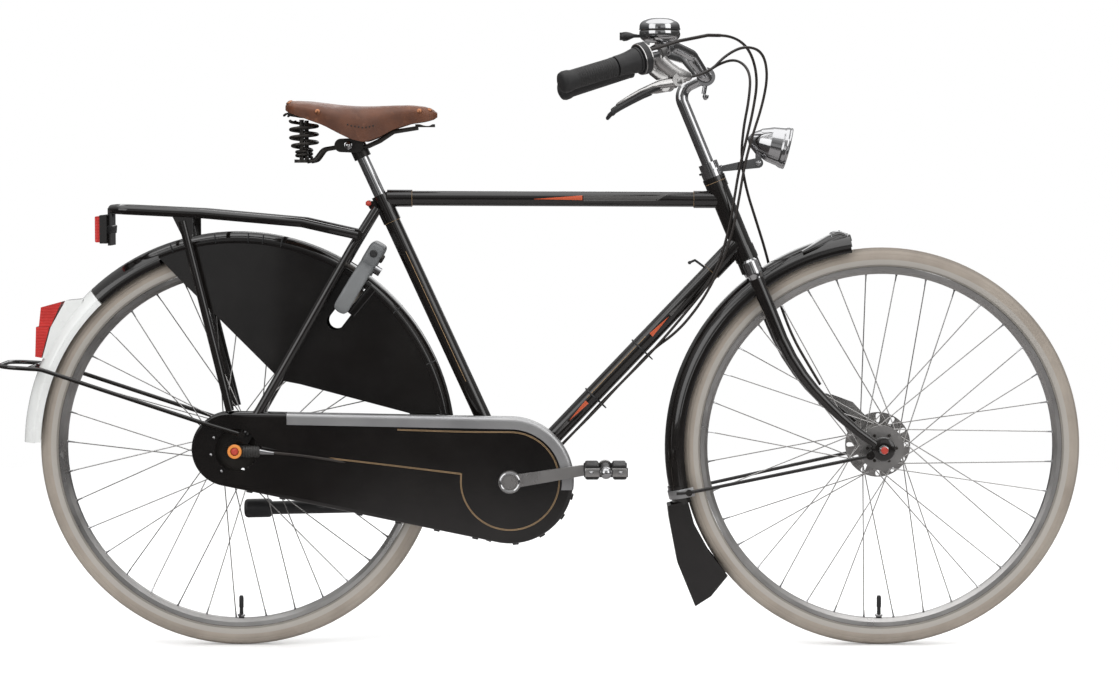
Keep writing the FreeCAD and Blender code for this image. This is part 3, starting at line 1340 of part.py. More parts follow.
def saddle_section(x, half_width, top, bottom, inset):
    """One cross section: straight skirts, round shoulders and a slightly crowned top."""
    wide = half_width - inset
    high = top - inset
    low = bottom if inset == 0 else bottom - 3
    shoulder = high - 0.35 * min(wide, high - low)
    crown = high - 0.06 * wide
    bulge = shoulder + 0.72 * (crown - shoulder)
    corners = [(wide, low), (wide, shoulder), (0.6 * wide, crown)]
    corners = corners + [(-y, z) for y, z in reversed(corners)]
    points = [Vector(x, y, z) for y, z in corners]
    return Part.Wire([
        Part.LineSegment(points[0], points[1]).toShape(),
        Part.Arc(points[1], Vector(x, 0.9 * wide, bulge), points[2]).toShape(),
        Part.Arc(points[2], Vector(x, 0, high), points[3]).toShape(),
        Part.Arc(points[3], Vector(x, -0.9 * wide, bulge), points[4]).toShape(),
        Part.LineSegment(points[4], points[5]).toShape(),
        Part.LineSegment(points[5], points[0]).toShape(),
    ])


outer_skin = Part.makeLoft([saddle_section(*station, 0) for station in STATIONS], True, False)
inner_skin = Part.makeLoft(
    [saddle_section(*station, size("saddle_leather")) for station in STATIONS[1:-1]], True, True
)
leather = outer_skin.cut(inner_skin)
feature("saddle_leather", max(leather.Solids, key=lambda piece: piece.Volume))

rails = []
for side in (1, -1):
    rails.append(pipe([
        Vector(-410, side * 46, 864.5),
        Vector(-398, side * 38, 867),
        Vector(-384, side * 30, 886),
        Vector(-360, side * 26, 890),
        Vector(-308, side * 24, 891),
        Vector(-286, side * 22, 901),
        Vector(-262, side * 18, 917),
        Vector(-218, side * 12, 924),
    ], 3.6, 14))
    rails.append(rod(Vector(-420, side * 50, 862.4), Vector(-420, side * 50, 868.2), 13))
    rails.append(rod(Vector(-420, side * 50, 868), Vector(-420, side * 50, 938), 4))
saddle_clamp = slab(hull_of_circles(Vector(-352, 0, 893), 12, Vector(-326, 0, 893), 13), -34, 34)
clamp_tilt = rod(post_top - seat_up * 26, post_top + seat_up * 2, 15.5)
saddle_frame = rails[0].fuse(rails[1:] + [saddle_clamp, clamp_tilt])
nose_plate = Part.makeBox(34, 30, 5, Vector(-222, -15, 925.5))
cantle = Part.makeBox(34, 128, 4, Vector(-442, -64, 945.2))
cantle = cantle.makeFillet(12, [edge for edge in cantle.Edges if abs(edge.tangentAt(0).z) > 0.9])
spring_caps = [
    rod(Vector(-420, side * 50, 938.2), Vector(-420, side * 50, 945.4), 21) for side in (1, -1)
]
saddle_frame = saddle_frame.fuse([nose_plate, cantle] + spring_caps).cut([post])
saddle_frame = saddle_frame.cut([outer_skin.cut(inner_skin)])
saddle_frame = max(saddle_frame.Solids, key=lambda piece: piece.Volume)
feature("saddle_frame", saddle_frame)


def helix_point(turn):
    """A point of the spring, which winds up narrow and then wide, and its direction."""
    tight = size("spring_tight_turns")
    wide = size("spring_turns")
    grow = min(max((turn - tight) / 0.75, 0), 1)
    radius = size("spring_tight_radius") + grow * (size("spring_coil_radius") - size("spring_tight_radius"))
    climb = size("spring_tight_pitch") * min(turn, tight) + size("spring_pitch") * max(turn - tight, 0)
    angle = 2 * math.pi * turn
    return Vector(radius * math.cos(angle), radius * math.sin(angle), climb)


def heading(turn):
    """The spring's direction of travel."""
    return (helix_point(turn + 0.001) - helix_point(turn - 0.001)).normalize()


def biarc(start, start_way, end, end_way):
    """Two arcs that leave and arrive along given directions."""
    chord = end - start
    ways = start_way + end_way
    a = 2 * (start_way.dot(end_way) - 1)
    b = -2 * chord.dot(ways)
    reach = (-b - math.sqrt(b * b - 4 * a * chord.Length**2)) / (2 * a)
    first_corner = start + start_way * reach
    last_corner = end - end_way * reach
    joint = (first_corner + last_corner) / 2
    arcs = []
    for near, corner, far in ((start, first_corner, joint), (joint, last_corner, end)):
        back = (near - corner).normalize()
        ahead = (far - corner).normalize()
        half_turn = (math.pi - back.getAngle(ahead)) / 2
        radius = reach / math.tan(half_turn)
        middle = corner + (back + ahead).normalize() * (radius / math.cos(half_turn) - radius)
        arcs.append(Part.Arc(near, middle, far).toShape())
    return arcs


def spring(foot):
    """One unbroken wire: quarter-turn biarcs between two straight ends."""
    wire = size("spring_wire_radius")
    turns = size("spring_tight_turns") + size("spring_turns")
    steps = int(round(4 * turns))
    lead = heading(0) * (2 * wire)
    edges = [Part.LineSegment(helix_point(0) - lead, helix_point(0)).toShape()]
    for k in range(steps):
        turn, following = k / 4, (k + 1) / 4
        edges = edges + biarc(helix_point(turn), heading(turn), helix_point(following), heading(following))
    last = helix_point(turns)
    edges.append(Part.LineSegment(last, last + heading(turns) * (2 * wire)).toShape())
    path = Part.Wire(edges)
    section = Part.Wire([Part.Circle(helix_point(0) - lead, lead, wire).toShape()])
    tube = path.makePipeShell([section], True, False)
    tube.translate(foot)
    return tube, path


springs = []
for side in (1, -1):
    tube, spring_path = spring(Vector(-420, side * 50, 872))
    springs.append(tube)
spring_points = spring_path.discretize(Distance=1.5)
gap = min(
    a.distanceToPoint(b)
    for i, a in enumerate(spring_points)
    for b in spring_points[i + 16:]
)
print("saddle spring: least gap to itself %.2f" % (gap - 2 * size("spring_wire_radius")))
feature("saddle_springs", Part.makeCompound(springs))

# Side stand, folded back along the left side
stand_hub = rod(stand_pivot - stand_axis * 11, stand_pivot + stand_axis * 11, 13)
leg_way = Vector(-1, 0, -0.02).normalize()
foot_end = stand_pivot + leg_way * size("stand_length")
leg = rod(stand_pivot, foot_end - leg_way * 4, size("stand_leg_radius"))
foot_radius = 17
foot = rod(foot_end - leg_way * 50, foot_end, foot_radius)
foot_rims = [edge for edge in foot.Edges if abs(edge.Length - 2 * math.pi * foot_radius) < 0.5]
foot = foot.makeFillet(7, foot_rims)
stand = leg.fuse([stand_hub, foot]).cut([
    rod(stand_pivot - stand_axis * 30, stand_pivot + stand_axis * 30, 5 + size("running_gap")),
    rod(stand_pivot + stand_axis * 11.3, stand_pivot + stand_axis * 40, 26),
])
stand = max(stand.Solids, key=lambda piece: piece.Volume)
feature("side_stand", stand)

# Every sub-part has to be sound before it is written
doc.recompute()
for thing in doc.Objects:
    bad = [word for word in thing.State if word in ("Invalid", "Error")]
    if bad:
        raise RuntimeError("%s is %s" % (thing.Label, bad))
os.makedirs("parts", exist_ok=True)
for label, thing in parts.items():
    shape = thing.Shape
    if shape.isNull() or not shape.isValid() or not shape.Solids:
        raise RuntimeError("%s has no sound shape" % label)
    shape.exportStep("parts/%s.step" % label)
print("%d sub-parts" % len(parts))
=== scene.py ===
import math

import bpy
from mathutils import Matrix, Vector


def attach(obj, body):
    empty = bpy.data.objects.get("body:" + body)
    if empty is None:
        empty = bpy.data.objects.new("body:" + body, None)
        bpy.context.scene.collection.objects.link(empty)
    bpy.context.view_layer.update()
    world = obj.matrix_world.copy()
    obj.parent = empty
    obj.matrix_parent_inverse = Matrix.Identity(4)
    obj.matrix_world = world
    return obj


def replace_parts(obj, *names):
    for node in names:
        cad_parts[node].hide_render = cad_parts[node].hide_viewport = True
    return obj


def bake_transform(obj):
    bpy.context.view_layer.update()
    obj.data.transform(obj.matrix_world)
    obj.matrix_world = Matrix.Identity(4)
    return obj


# Dutch city bike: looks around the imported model. Metres, +X forward, +Y the rider's left, +Z up.
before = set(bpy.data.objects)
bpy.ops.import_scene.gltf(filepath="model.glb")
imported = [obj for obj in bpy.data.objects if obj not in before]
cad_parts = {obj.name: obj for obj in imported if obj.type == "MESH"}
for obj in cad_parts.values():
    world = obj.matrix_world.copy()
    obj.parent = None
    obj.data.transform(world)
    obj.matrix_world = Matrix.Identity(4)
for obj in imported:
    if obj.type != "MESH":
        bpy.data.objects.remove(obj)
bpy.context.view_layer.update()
bpy.ops.object.select_all(action="DESELECT")
scene = bpy.context.scene
scene.view_settings.view_transform = "Standard"

REAR_AXLE = Vector((-0.5373, 0, 0.356))
FRONT_AXLE = Vector((0.6067, 0, 0.356))
CRANK = Vector((-0.054, 0, 0.301))
ACROSS = Vector((0, 1, 0))
UP = Vector((0, 0, 1))
SEAT_TOP = Vector((-0.2855, 0, 0.8055))
SEAT_UP = (SEAT_TOP - CRANK).normalized()
STEER_TOP = Vector((0.3107, 0, 0.8287))
STEER_UP = Vector((-0.415, 0, 1)).normalized()
STEER_FORWARD = Vector((STEER_UP.z, 0, -STEER_UP.x))
DOWN_LOW = Vector((-0.052, 0, 0.296))
DOWN_HIGH = Vector((0.3212, 0, 0.6874))
DOWN_ALONG = (DOWN_HIGH - DOWN_LOW).normalized()
LEVER_PIVOT = Vector((0.232, -0.196, 1.004))
BLADES = {1: "left_brake", -1: "right_brake"}
CABLE_WAY = Vector((0.87, 0.458, 0.183)).normalized()
GRIP_START = Vector((0.180, -0.225, 1.041))
GRIP_END = Vector((0.037, -0.300, 0.996))
GRIP_WAY = (GRIP_END - GRIP_START).normalized()

# The camera stands where the photographer's did
PHOTO_WIDTH = 1119
METRES_PER_PIXEL = 0.0017845
EYE = Vector((0.0335, -5.15, 0.868))
AIM = Vector((0.0335, 0, 0.5387))
bpy.ops.object.camera_add(location=EYE)
camera = bpy.context.object
camera.rotation_euler = (AIM - EYE).to_track_quat("-Z", "Y").to_euler()
camera.data.sensor_width = 36
camera.data.lens = 36 * (AIM - EYE).length / (PHOTO_WIDTH * METRES_PER_PIXEL)
scene.camera = camera


def below(distance, side=0.0, ahead=0.0):
    """A point on the steering axis, a distance below the head tube's top."""
    return STEER_TOP - STEER_UP * distance + ACROSS * side + STEER_FORWARD * ahead


def about(axle, radius, degrees, side=0.0):
    turn = math.radians(degrees)
    return axle + Vector((radius * math.cos(turn), side, radius * math.sin(turn)))


def other_side(point):
    return Vector((point.x, -point.y, point.z))


# ---- Shader groups that several finishes share
def shader_group(name, inputs, outputs):
    group = bpy.data.node_groups.new(name, "ShaderNodeTree")
    for label, kind, value in inputs:
        socket = group.interface.new_socket(label, in_out="INPUT", socket_type="NodeSocket" + kind)
        if value is not None:
            socket.default_value = value
    for label, kind in outputs:
        group.interface.new_socket(label, in_out="OUTPUT", socket_type="NodeSocket" + kind)
    return group, group.nodes.new("NodeGroupInput"), group.nodes.new("NodeGroupOutput")


def plug(tree, source, target):
    """Give a socket another node's output, or a fixed value."""
    if isinstance(source, bpy.types.NodeSocket):
        tree.links.new(source, target)
    else:
        target.default_value = source


def maths(tree, operation, *values):
    """A Math node: each value is a number or another node's output."""
    node = tree.nodes.new("ShaderNodeMath")
    node.operation = operation
    for socket, value in zip(node.inputs, values):
        plug(tree, value, socket)
    return node.outputs[0]


def vector_maths(tree, operation, *values):
    node = tree.nodes.new("ShaderNodeVectorMath")
    node.operation = operation
    for socket, value in zip(node.inputs, values):
        plug(tree, value, socket)
    return node


def noise(tree, vector, scale, detail=3.0, roughness=0.55):
    node = tree.nodes.new("ShaderNodeTexNoise")
    plug(tree, vector, node.inputs["Vector"])
    for label, value in (("Scale", scale), ("Detail", detail), ("Roughness", roughness)):
        plug(tree, value, node.inputs[label])
    return node.outputs["Fac"]


def spread(tree, value, low, high, to_low, to_high):
    node = tree.nodes.new("ShaderNodeMapRange")
    for socket, entry in zip(node.inputs, (value, low, high, to_low, to_high)):
        plug(tree, entry, socket)
    return node.outputs[0]


def make_cloud_group():
    """Slow change over a surface, between two values."""
    group, given, out = shader_group(
        "cloud",
        (("Vector", "Vector", None), ("Scale", "Float", 6.0), ("Low", "Float", 0.0), ("High", "Float", 1.0)),
        (("Value", "Float"),),
    )
    mottled = noise(group, given.outputs["Vector"], given.outputs["Scale"], 4.0)
    value = spread(group, mottled, 0.34, 0.66, given.outputs["Low"], given.outputs["High"])
    plug(group, value, out.inputs["Value"])
    return group


def make_dust_group():
    """Road dust: a speckled film, thicker near the ground."""
    group, given, out = shader_group(
        "road_dust",
        (("Vector", "Vector", None), ("Amount", "Float", 0.2)),
        (("Mask", "Float"),),
    )
    place = group.nodes.new("ShaderNodeSeparateXYZ")
    plug(group, given.outputs["Vector"], place.inputs[0])
    low_down = spread(group, place.outputs["Z"], 0.0, 0.75, 1.0, 0.15)
    patches = spread(group, noise(group, given.outputs["Vector"], 9.0, 5.0), 0.42, 0.72, 0.0, 1.0)
    specks = spread(group, noise(group, given.outputs["Vector"], 900.0, 2.0), 0.6, 0.8, 0.0, 0.7)
    film = maths(group, "MAXIMUM", patches, specks)
    film = maths(group, "MULTIPLY", film, low_down)
    plug(group, maths(group, "MULTIPLY", film, given.outputs["Amount"]), out.inputs["Mask"])
    return group


def make_grain_group():
    """A fine bumpy skin, as a normal."""
    group, given, out = shader_group(
        "fine_grain",
        (("Vector", "Vector", None), ("Scale", "Float", 300.0), ("Depth", "Float", 0.1)),
        (("Normal", "Vector"),),
    )
    bump = group.nodes.new("ShaderNodeBump")
    bump.inputs["Distance"].default_value = 0.0006
    plug(group, noise(group, given.outputs["Vector"], given.outputs["Scale"], 3.0), bump.inputs["Height"])
    plug(group, given.outputs["Depth"], bump.inputs["Strength"])
    plug(group, bump.outputs[0], out.inputs["Normal"])
    return group


def make_scratch_group():
    """Short fine scratches, laid in two directions."""
    group, given, out = shader_group(
        "fine_scratches",
        (("Vector", "Vector", None), ("Scale", "Float", 60.0), ("Amount", "Float", 0.3)),
        (("Mask", "Float"),),
    )
    found = []
    for turn in ((0.3, 1.1, 0.4), (-0.8, 0.2, 1.3)):
        stretch = group.nodes.new("ShaderNodeMapping")
        stretch.inputs["Rotation"].default_value = turn
        stretch.inputs["Scale"].default_value = (1.0, 14.0, 1.0)
        plug(group, given.outputs["Vector"], stretch.inputs["Vector"])
        lines = noise(group, stretch.outputs[0], given.outputs["Scale"], 2.0)
        found.append(spread(group, lines, 0.66, 0.72, 0.0, 1.0))
    lines = maths(group, "MAXIMUM", found[0], found[1])
    plug(group, maths(group, "MULTIPLY", lines, given.outputs["Amount"]), out.inputs["Mask"])
    return group


def make_dart_group():
    """A painted bar in the XZ plane between two points, with its own half width at each end."""
    group, given, out = shader_group(
        "painted_bar",
        (
            ("Vector", "Vector", None),
            ("Start", "Vector", None),
            ("Finish", "Vector", None),
            ("Start Width", "Float", 0.001),
            ("Finish Width", "Float", 0.001),
        ),
        (("Mask", "Float"),),
    )
    flat = vector_maths(group, "MULTIPLY", given.outputs["Vector"], (1, 0, 1)).outputs[0]
    along = vector_maths(group, "SUBTRACT", given.outputs["Finish"], given.outputs["Start"]).outputs[0]
    offset = vector_maths(group, "SUBTRACT", flat, given.outputs["Start"]).outputs[0]
    reach = vector_maths(group, "DOT_PRODUCT", offset, along).outputs["Value"]
    square = vector_maths(group, "DOT_PRODUCT", along, along).outputs["Value"]
    share = maths(group, "DIVIDE", reach, square)
    scaled = group.nodes.new("ShaderNodeVectorMath")
    scaled.operation = "SCALE"
    plug(group, along, scaled.inputs[0])
    plug(group, share, scaled.inputs["Scale"])
    gap = vector_maths(group, "SUBTRACT", offset, scaled.outputs[0]).outputs[0]
    distance = vector_maths(group, "LENGTH", gap).outputs["Value"]
    width = spread(group, share, 0.0, 1.0, given.outputs["Start Width"], given.outputs["Finish Width"])
    across = maths(group, "LESS_THAN", distance, width)
    after = maths(group, "GREATER_THAN", share, 0.0)
    before = maths(group, "LESS_THAN", share, 1.0)
    mask = maths(group, "MULTIPLY", across, maths(group, "MULTIPLY", after, before))
    plug(group, mask, out.inputs["Mask"])
    return group


CLOUD = make_cloud_group()
DUST = make_dust_group()
GRAIN = make_grain_group()
SCRATCHES = make_scratch_group()
PAINTED_BAR = make_dart_group()


def placed(tree, group, vector, **values):
    node = tree.nodes.new("ShaderNodeGroup")
    node.node_tree = group
    plug(tree, vector, node.inputs["Vector"])
    for label, value in values.items():
        node.inputs[label.replace("_", " ")].default_value = value
    return node.outputs[0]


def mixed(tree, mask, first, second):
    node = tree.nodes.new("ShaderNodeMix")
    node.data_type = "RGBA"
    plug(tree, mask, node.inputs["Factor"])
    for socket, value in ((node.inputs[6], first), (node.inputs[7], second)):
        plug(tree, value if isinstance(value, bpy.types.NodeSocket) else (*value, 1), socket)
    return node.outputs[2]


def blank(name):
    """A material with its tree, its shader and its object coordinates."""
    material = bpy.data.materials.new(name)
    material.use_nodes = True
    tree = material.node_tree
    shader = tree.nodes["Principled BSDF"]
    coordinates = tree.nodes.new("ShaderNodeTexCoord").outputs["Object"]
    return material, tree, shader, coordinates


def finish_of(name, colour, tint, rough, metallic=0.0, cloud=7.0, grain=(350.0, 0.08), dust=0.1,
              scratches=0.0, bars=(), **sockets):
    """A finish: mottled colour with dust, uneven gloss, fine scratches and grain."""
    material, tree, shader, where = blank(name)
    base = mixed(tree, placed(tree, CLOUD, where, Scale=cloud), colour, tint)
    for start, end, start_width, end_width, bar_colour in bars:
        bar = placed(tree, PAINTED_BAR, where, Start=start, Finish=end,
                     Start_Width=start_width, Finish_Width=end_width)
        base = mixed(tree, bar, base, bar_colour)
    film = placed(tree, DUST, where, Amount=dust)
    base = mixed(tree, film, base, (0.30, 0.27, 0.23))
    plug(tree, base, shader.inputs["Base Color"])
    gloss = placed(tree, CLOUD, where, Scale=cloud * 2.3, Low=rough[0], High=rough[1])
    if scratches:
        worn = placed(tree, SCRATCHES, where, Amount=scratches)
        gloss = maths(tree, "ADD", gloss, maths(tree, "MULTIPLY", worn, 0.25))
    gloss = maths(tree, "ADD", gloss, maths(tree, "MULTIPLY", film, 0.5))
    plug(tree, gloss, shader.inputs["Roughness"])
    plug(tree, placed(tree, GRAIN, where, Scale=grain[0], Depth=grain[1]), shader.inputs["Normal"])
    shader.inputs["Metallic"].default_value = metallic
    for label, value in sockets.items():
        shader.inputs[label.replace("_", " ")].default_value = value
    return material


ENAMEL = {
    "colour": (0.0042, 0.0034, 0.0030), "tint": (0.0085, 0.0070, 0.0064), "rough": (0.10, 0.2),
    "grain": (90.0, 0.03), "scratches": 0.2, "dust": 0.02, "Coat_Weight": 0.8, "Coat_Roughness": 0.03,
}
ORANGE = (0.50, 0.095, 0.040)
LINE_GREY = (0.075, 0.072, 0.070)
GOLD = (0.40, 0.26, 0.13)
black_enamel = finish_of("black_enamel", **ENAMEL)
top_tube_paint = finish_of(
    "top_tube_enamel",
    bars=(
        (Vector((-0.012, 0, 0.7980)), Vector((0.074, 0, 0.8005)), 0.0002, 0.0042, ORANGE),
        (Vector((0.076, 0, 0.7990)), Vector((0.205, 0, 0.7995)), 0.0046, 0.0046, LINE_GREY),
        (Vector((0.205, 0, 0.7995)), Vector((0.226, 0, 0.8070)), 0.0046, 0.0003, LINE_GREY),
    ),
    **ENAMEL,
)
down_dart_low = DOWN_LOW + DOWN_ALONG * 0.150
down_dart_high = DOWN_LOW + DOWN_ALONG * 0.405
down_tube_paint = finish_of(
    "down_tube_enamel",
    bars=(
        (down_dart_low, down_dart_low + DOWN_ALONG * 0.045, 0.0002, 0.0040, ORANGE),
        (down_dart_high, down_dart_high - DOWN_ALONG * 0.045, 0.0002, 0.0040, ORANGE),
        (down_dart_high + DOWN_ALONG * 0.004, down_dart_high + DOWN_ALONG * 0.045, 0.0028, 0.0003, LINE_GREY),
        (down_dart_low - DOWN_ALONG * 0.004, down_dart_low - DOWN_ALONG * 0.045, 0.0028, 0.0003, LINE_GREY),
    ),
    **ENAMEL,
)
case_plastic = finish_of("case_gloss", (0.0030, 0.0022, 0.0020), (0.0060, 0.0050, 0.0046), (0.08, 0.16),
                         dust=0.015, grain=(45.0, 0.10), scratches=0.25, Coat_Weight=0.6, Coat_Roughness=0.04)
guard_vinyl = finish_of("guard_vinyl", (0.0030, 0.0022, 0.0020), (0.0065, 0.0055, 0.0050), (0.12, 0.22),
                        dust=0.015, grain=(7.0, 1.0), scratches=0.2, Coat_Weight=0.6, Coat_Roughness=0.05)
white_enamel = finish_of("white_enamel", (0.74, 0.75, 0.74), (0.68, 0.69, 0.68), (0.18, 0.3),
                         dust=0.25, Coat_Weight=0.5, Coat_Roughness=0.06)
chrome = finish_of("chrome", (0.60, 0.60, 0.605), (0.51, 0.51, 0.52), (0.07, 0.14), metallic=1.0,
                   grain=(60.0, 0.02), dust=0.03, scratches=0.15)
alloy = finish_of("polished_alloy", (0.60, 0.59, 0.58), (0.50, 0.49, 0.48), (0.22, 0.36), metallic=1.0,
                  grain=(500.0, 0.05), dust=0.08, scratches=0.4)
satin_alloy = finish_of("satin_alloy", (0.52, 0.52, 0.52), (0.44, 0.44, 0.45), (0.36, 0.46),
                        metallic=0.9, grain=(500.0, 0.06), dust=0.08, scratches=0.3)
rim_alloy = finish_of("rim_alloy", (0.62, 0.61, 0.60), (0.52, 0.51, 0.50), (0.26, 0.38), metallic=1.0,
                      grain=(700.0, 0.06), dust=0.12, scratches=0.5)
spoke_steel = finish_of("spoke_steel", (0.62, 0.61, 0.60), (0.50, 0.49, 0.48), (0.18, 0.30), metallic=1.0,
                        grain=(700.0, 0.04), dust=0.08)
dark_steel = finish_of("dark_steel", (0.035, 0.033, 0.032), (0.06, 0.055, 0.05), (0.3, 0.45), metallic=0.8,
                       grain=(600.0, 0.12), dust=0.15, scratches=0.3)
black_plastic = finish_of("black_plastic", (0.012, 0.012, 0.013), (0.02, 0.02, 0.021), (0.32, 0.45),
                          grain=(1400.0, 0.2), dust=0.12)
grey_plastic = finish_of("grey_plastic", (0.185, 0.190, 0.192), (0.125, 0.130, 0.134), (0.34, 0.45),
                         grain=(1600.0, 0.2), dust=0.1)
grip_rubber = finish_of("grip_rubber", (0.012, 0.012, 0.013), (0.022, 0.021, 0.021), (0.42, 0.6),
                        grain=(1800.0, 0.35), dust=0.1)
cable_sheath = finish_of("cable_sheath", (0.014, 0.011, 0.010), (0.025, 0.019, 0.016), (0.28, 0.4),
                         grain=(1500.0, 0.1), dust=0.1)
gold_paint = finish_of("gold_lining", GOLD, (0.31, 0.20, 0.10), (0.35, 0.5), grain=(900.0, 0.1), dust=0.1)
copper = finish_of("copper", (0.55, 0.26, 0.14), (0.36, 0.15, 0.08), (0.22, 0.4), metallic=1.0,
                   grain=(900.0, 0.15), dust=0.05)
orange_plastic = finish_of("orange_plastic", (0.75, 0.26, 0.04), (0.62, 0.19, 0.03), (0.3, 0.4), dust=0.1)
red_paint = finish_of("red_cap", (0.50, 0.05, 0.03), (0.36, 0.03, 0.02), (0.25, 0.4), dust=0.1)


def make_tyre_rubber(name, axle):
    """Taupe rubber: a grey band by the rim, fine side ribs, and a blocky tread."""
    material, tree, shader, where = blank(name)
    centre = tree.nodes.new("ShaderNodeMapping")
    centre.vector_type = "POINT"
    centre.inputs["Location"].default_value = -axle
    plug(tree, where, centre.inputs["Vector"])
    place = tree.nodes.new("ShaderNodeSeparateXYZ")
    plug(tree, centre.outputs[0], place.inputs[0])
    radius = maths(tree, "SQRT", maths(
        tree, "ADD",
        maths(tree, "MULTIPLY", place.outputs["X"], place.outputs["X"]),
        maths(tree, "MULTIPLY", place.outputs["Z"], place.outputs["Z"]),
    ))
    base = mixed(tree, placed(tree, CLOUD, where, Scale=14.0), (0.335, 0.290, 0.245), (0.270, 0.232, 0.195))
    band = spread(tree, radius, 0.3345, 0.3355, 1.0, 0.0)
    base = mixed(tree, band, base, (0.36, 0.335, 0.305))
    bead = spread(tree, radius, 0.3255, 0.3265, 1.0, 0.0)
    base = mixed(tree, bead, base, (0.20, 0.185, 0.165))
    tread = spread(tree, radius, 0.3500, 0.3515, 0.0, 1.0)
    base = mixed(tree, maths(tree, "MULTIPLY", tread, 0.5), base, (0.20, 0.175, 0.15))
    film = placed(tree, DUST, where, Amount=0.35)
    plug(tree, mixed(tree, film, base, (0.42, 0.38, 0.33)), shader.inputs["Base Color"])
    plug(tree, placed(tree, CLOUD, where, Scale=30.0, Low=0.62, High=0.8), shader.inputs["Roughness"])
    angle = maths(tree, "ARCTAN2", place.outputs["Z"], place.outputs["X"])
    skew = maths(tree, "ABSOLUTE", place.outputs["Y"])
    blocks = maths(tree, "SINE", maths(tree, "ADD", maths(tree, "MULTIPLY", angle, 210.0),
                                       maths(tree, "MULTIPLY", skew, 700.0)))
    blocks = maths(tree, "MULTIPLY", maths(tree, "GREATER_THAN", blocks, -0.2), tread)
    ribs = maths(tree, "SINE", maths(tree, "MULTIPLY", radius, 5200.0))
    ribs = maths(tree, "MULTIPLY", ribs, 0.12)
    speckle = maths(tree, "MULTIPLY", noise(tree, where, 1200.0, 3.0), 0.35)
    bump = tree.nodes.new("ShaderNodeBump")
    bump.inputs["Strength"].default_value = 0.7
    bump.inputs["Distance"].default_value = 0.0008
    plug(tree, maths(tree, "ADD", blocks, maths(tree, "ADD", ribs, speckle)), bump.inputs["Height"])
    plug(tree, bump.outputs[0], shader.inputs["Normal"])
    return material


def make_leather():
    """Tanned saddle leather: fine pores, unevenly darker lower down the skirts, lighter rubbed patches and a
    slight wax gloss.
    """
    material, tree, shader, where = blank("saddle_hide")
    mottled = placed(tree, CLOUD, where, Scale=26.0)
    base = mixed(tree, mottled, (0.165, 0.054, 0.020), (0.098, 0.031, 0.012))
    place = tree.nodes.new("ShaderNodeSeparateXYZ")
    plug(tree, where, place.inputs[0])
    # The skirts are made darker towards their lower edges, unevenly
    skirt = spread(tree, place.outputs["Z"], 0.925, 0.962, 0.75, 0.0)
    uneven = maths(tree, "MULTIPLY", skirt, placed(tree, CLOUD, where, Scale=40.0, Low=0.5, High=1.0))
    base = mixed(tree, uneven, base, (0.070, 0.022, 0.009))
    rubbed = spread(tree, noise(tree, where, 70.0, 5.0), 0.60, 0.74, 0.0, 0.55)
    base = mixed(tree, rubbed, base, (0.25, 0.095, 0.04))
    plug(tree, base, shader.inputs["Base Color"])
    plug(tree, placed(tree, CLOUD, where, Scale=60.0, Low=0.34, High=0.52), shader.inputs["Roughness"])
    pores = tree.nodes.new("ShaderNodeTexVoronoi")
    pores.inputs["Scale"].default_value = 900.0
    plug(tree, where, pores.inputs["Vector"])
    creases = noise(tree, where, 260.0, 6.0, 0.7)
    bump = tree.nodes.new("ShaderNodeBump")
    bump.inputs["Strength"].default_value = 0.45
    bump.inputs["Distance"].default_value = 0.0006
    plug(tree, maths(tree, "ADD", pores.outputs["Distance"], creases), bump.inputs["Height"])
    plug(tree, bump.outputs[0], shader.inputs["Normal"])
    shader.inputs["Coat Weight"].default_value = 0.15
    shader.inputs["Coat Roughness"].default_value = 0.35
    return material


def make_lens(name, colour, clear, ribs):
    """Moulded lens plastic with fine upright ribs."""
    material, tree, shader, where = blank(name)
    base = mixed(tree, placed(tree, CLOUD, where, Scale=30.0), colour, [0.8 * c for c in colour])
    plug(tree, base, shader.inputs["Base Color"])
    plug(tree, placed(tree, CLOUD, where, Scale=50.0, Low=0.06, High=0.14), shader.inputs["Roughness"])
    wave = tree.nodes.new("ShaderNodeTexWave")
    wave.bands_direction = "Z"
    wave.inputs["Scale"].default_value = ribs
    plug(tree, where, wave.inputs["Vector"])
    bump = tree.nodes.new("ShaderNodeBump")
    bump.inputs["Strength"].default_value = 0.5
    bump.inputs["Distance"].default_value = 0.001
    plug(tree, wave.outputs["Fac"], bump.inputs["Height"])
    plug(tree, bump.outputs[0], shader.inputs["Normal"])
    shader.inputs["Transmission Weight"].default_value = clear
    shader.inputs["Coat Weight"].default_value = 0.6
    return material


leather = make_leather()
red_lens = make_lens("red_lens", (0.62, 0.035, 0.03), 0.15, 60.0)
clear_lens = make_lens("clear_lens", (0.92, 0.94, 0.95), 0.85, 45.0)
front_tyre_rubber = make_tyre_rubber("front_tyre_rubber", FRONT_AXLE)
rear_tyre_rubber = make_tyre_rubber("rear_tyre_rubber", REAR_AXLE)

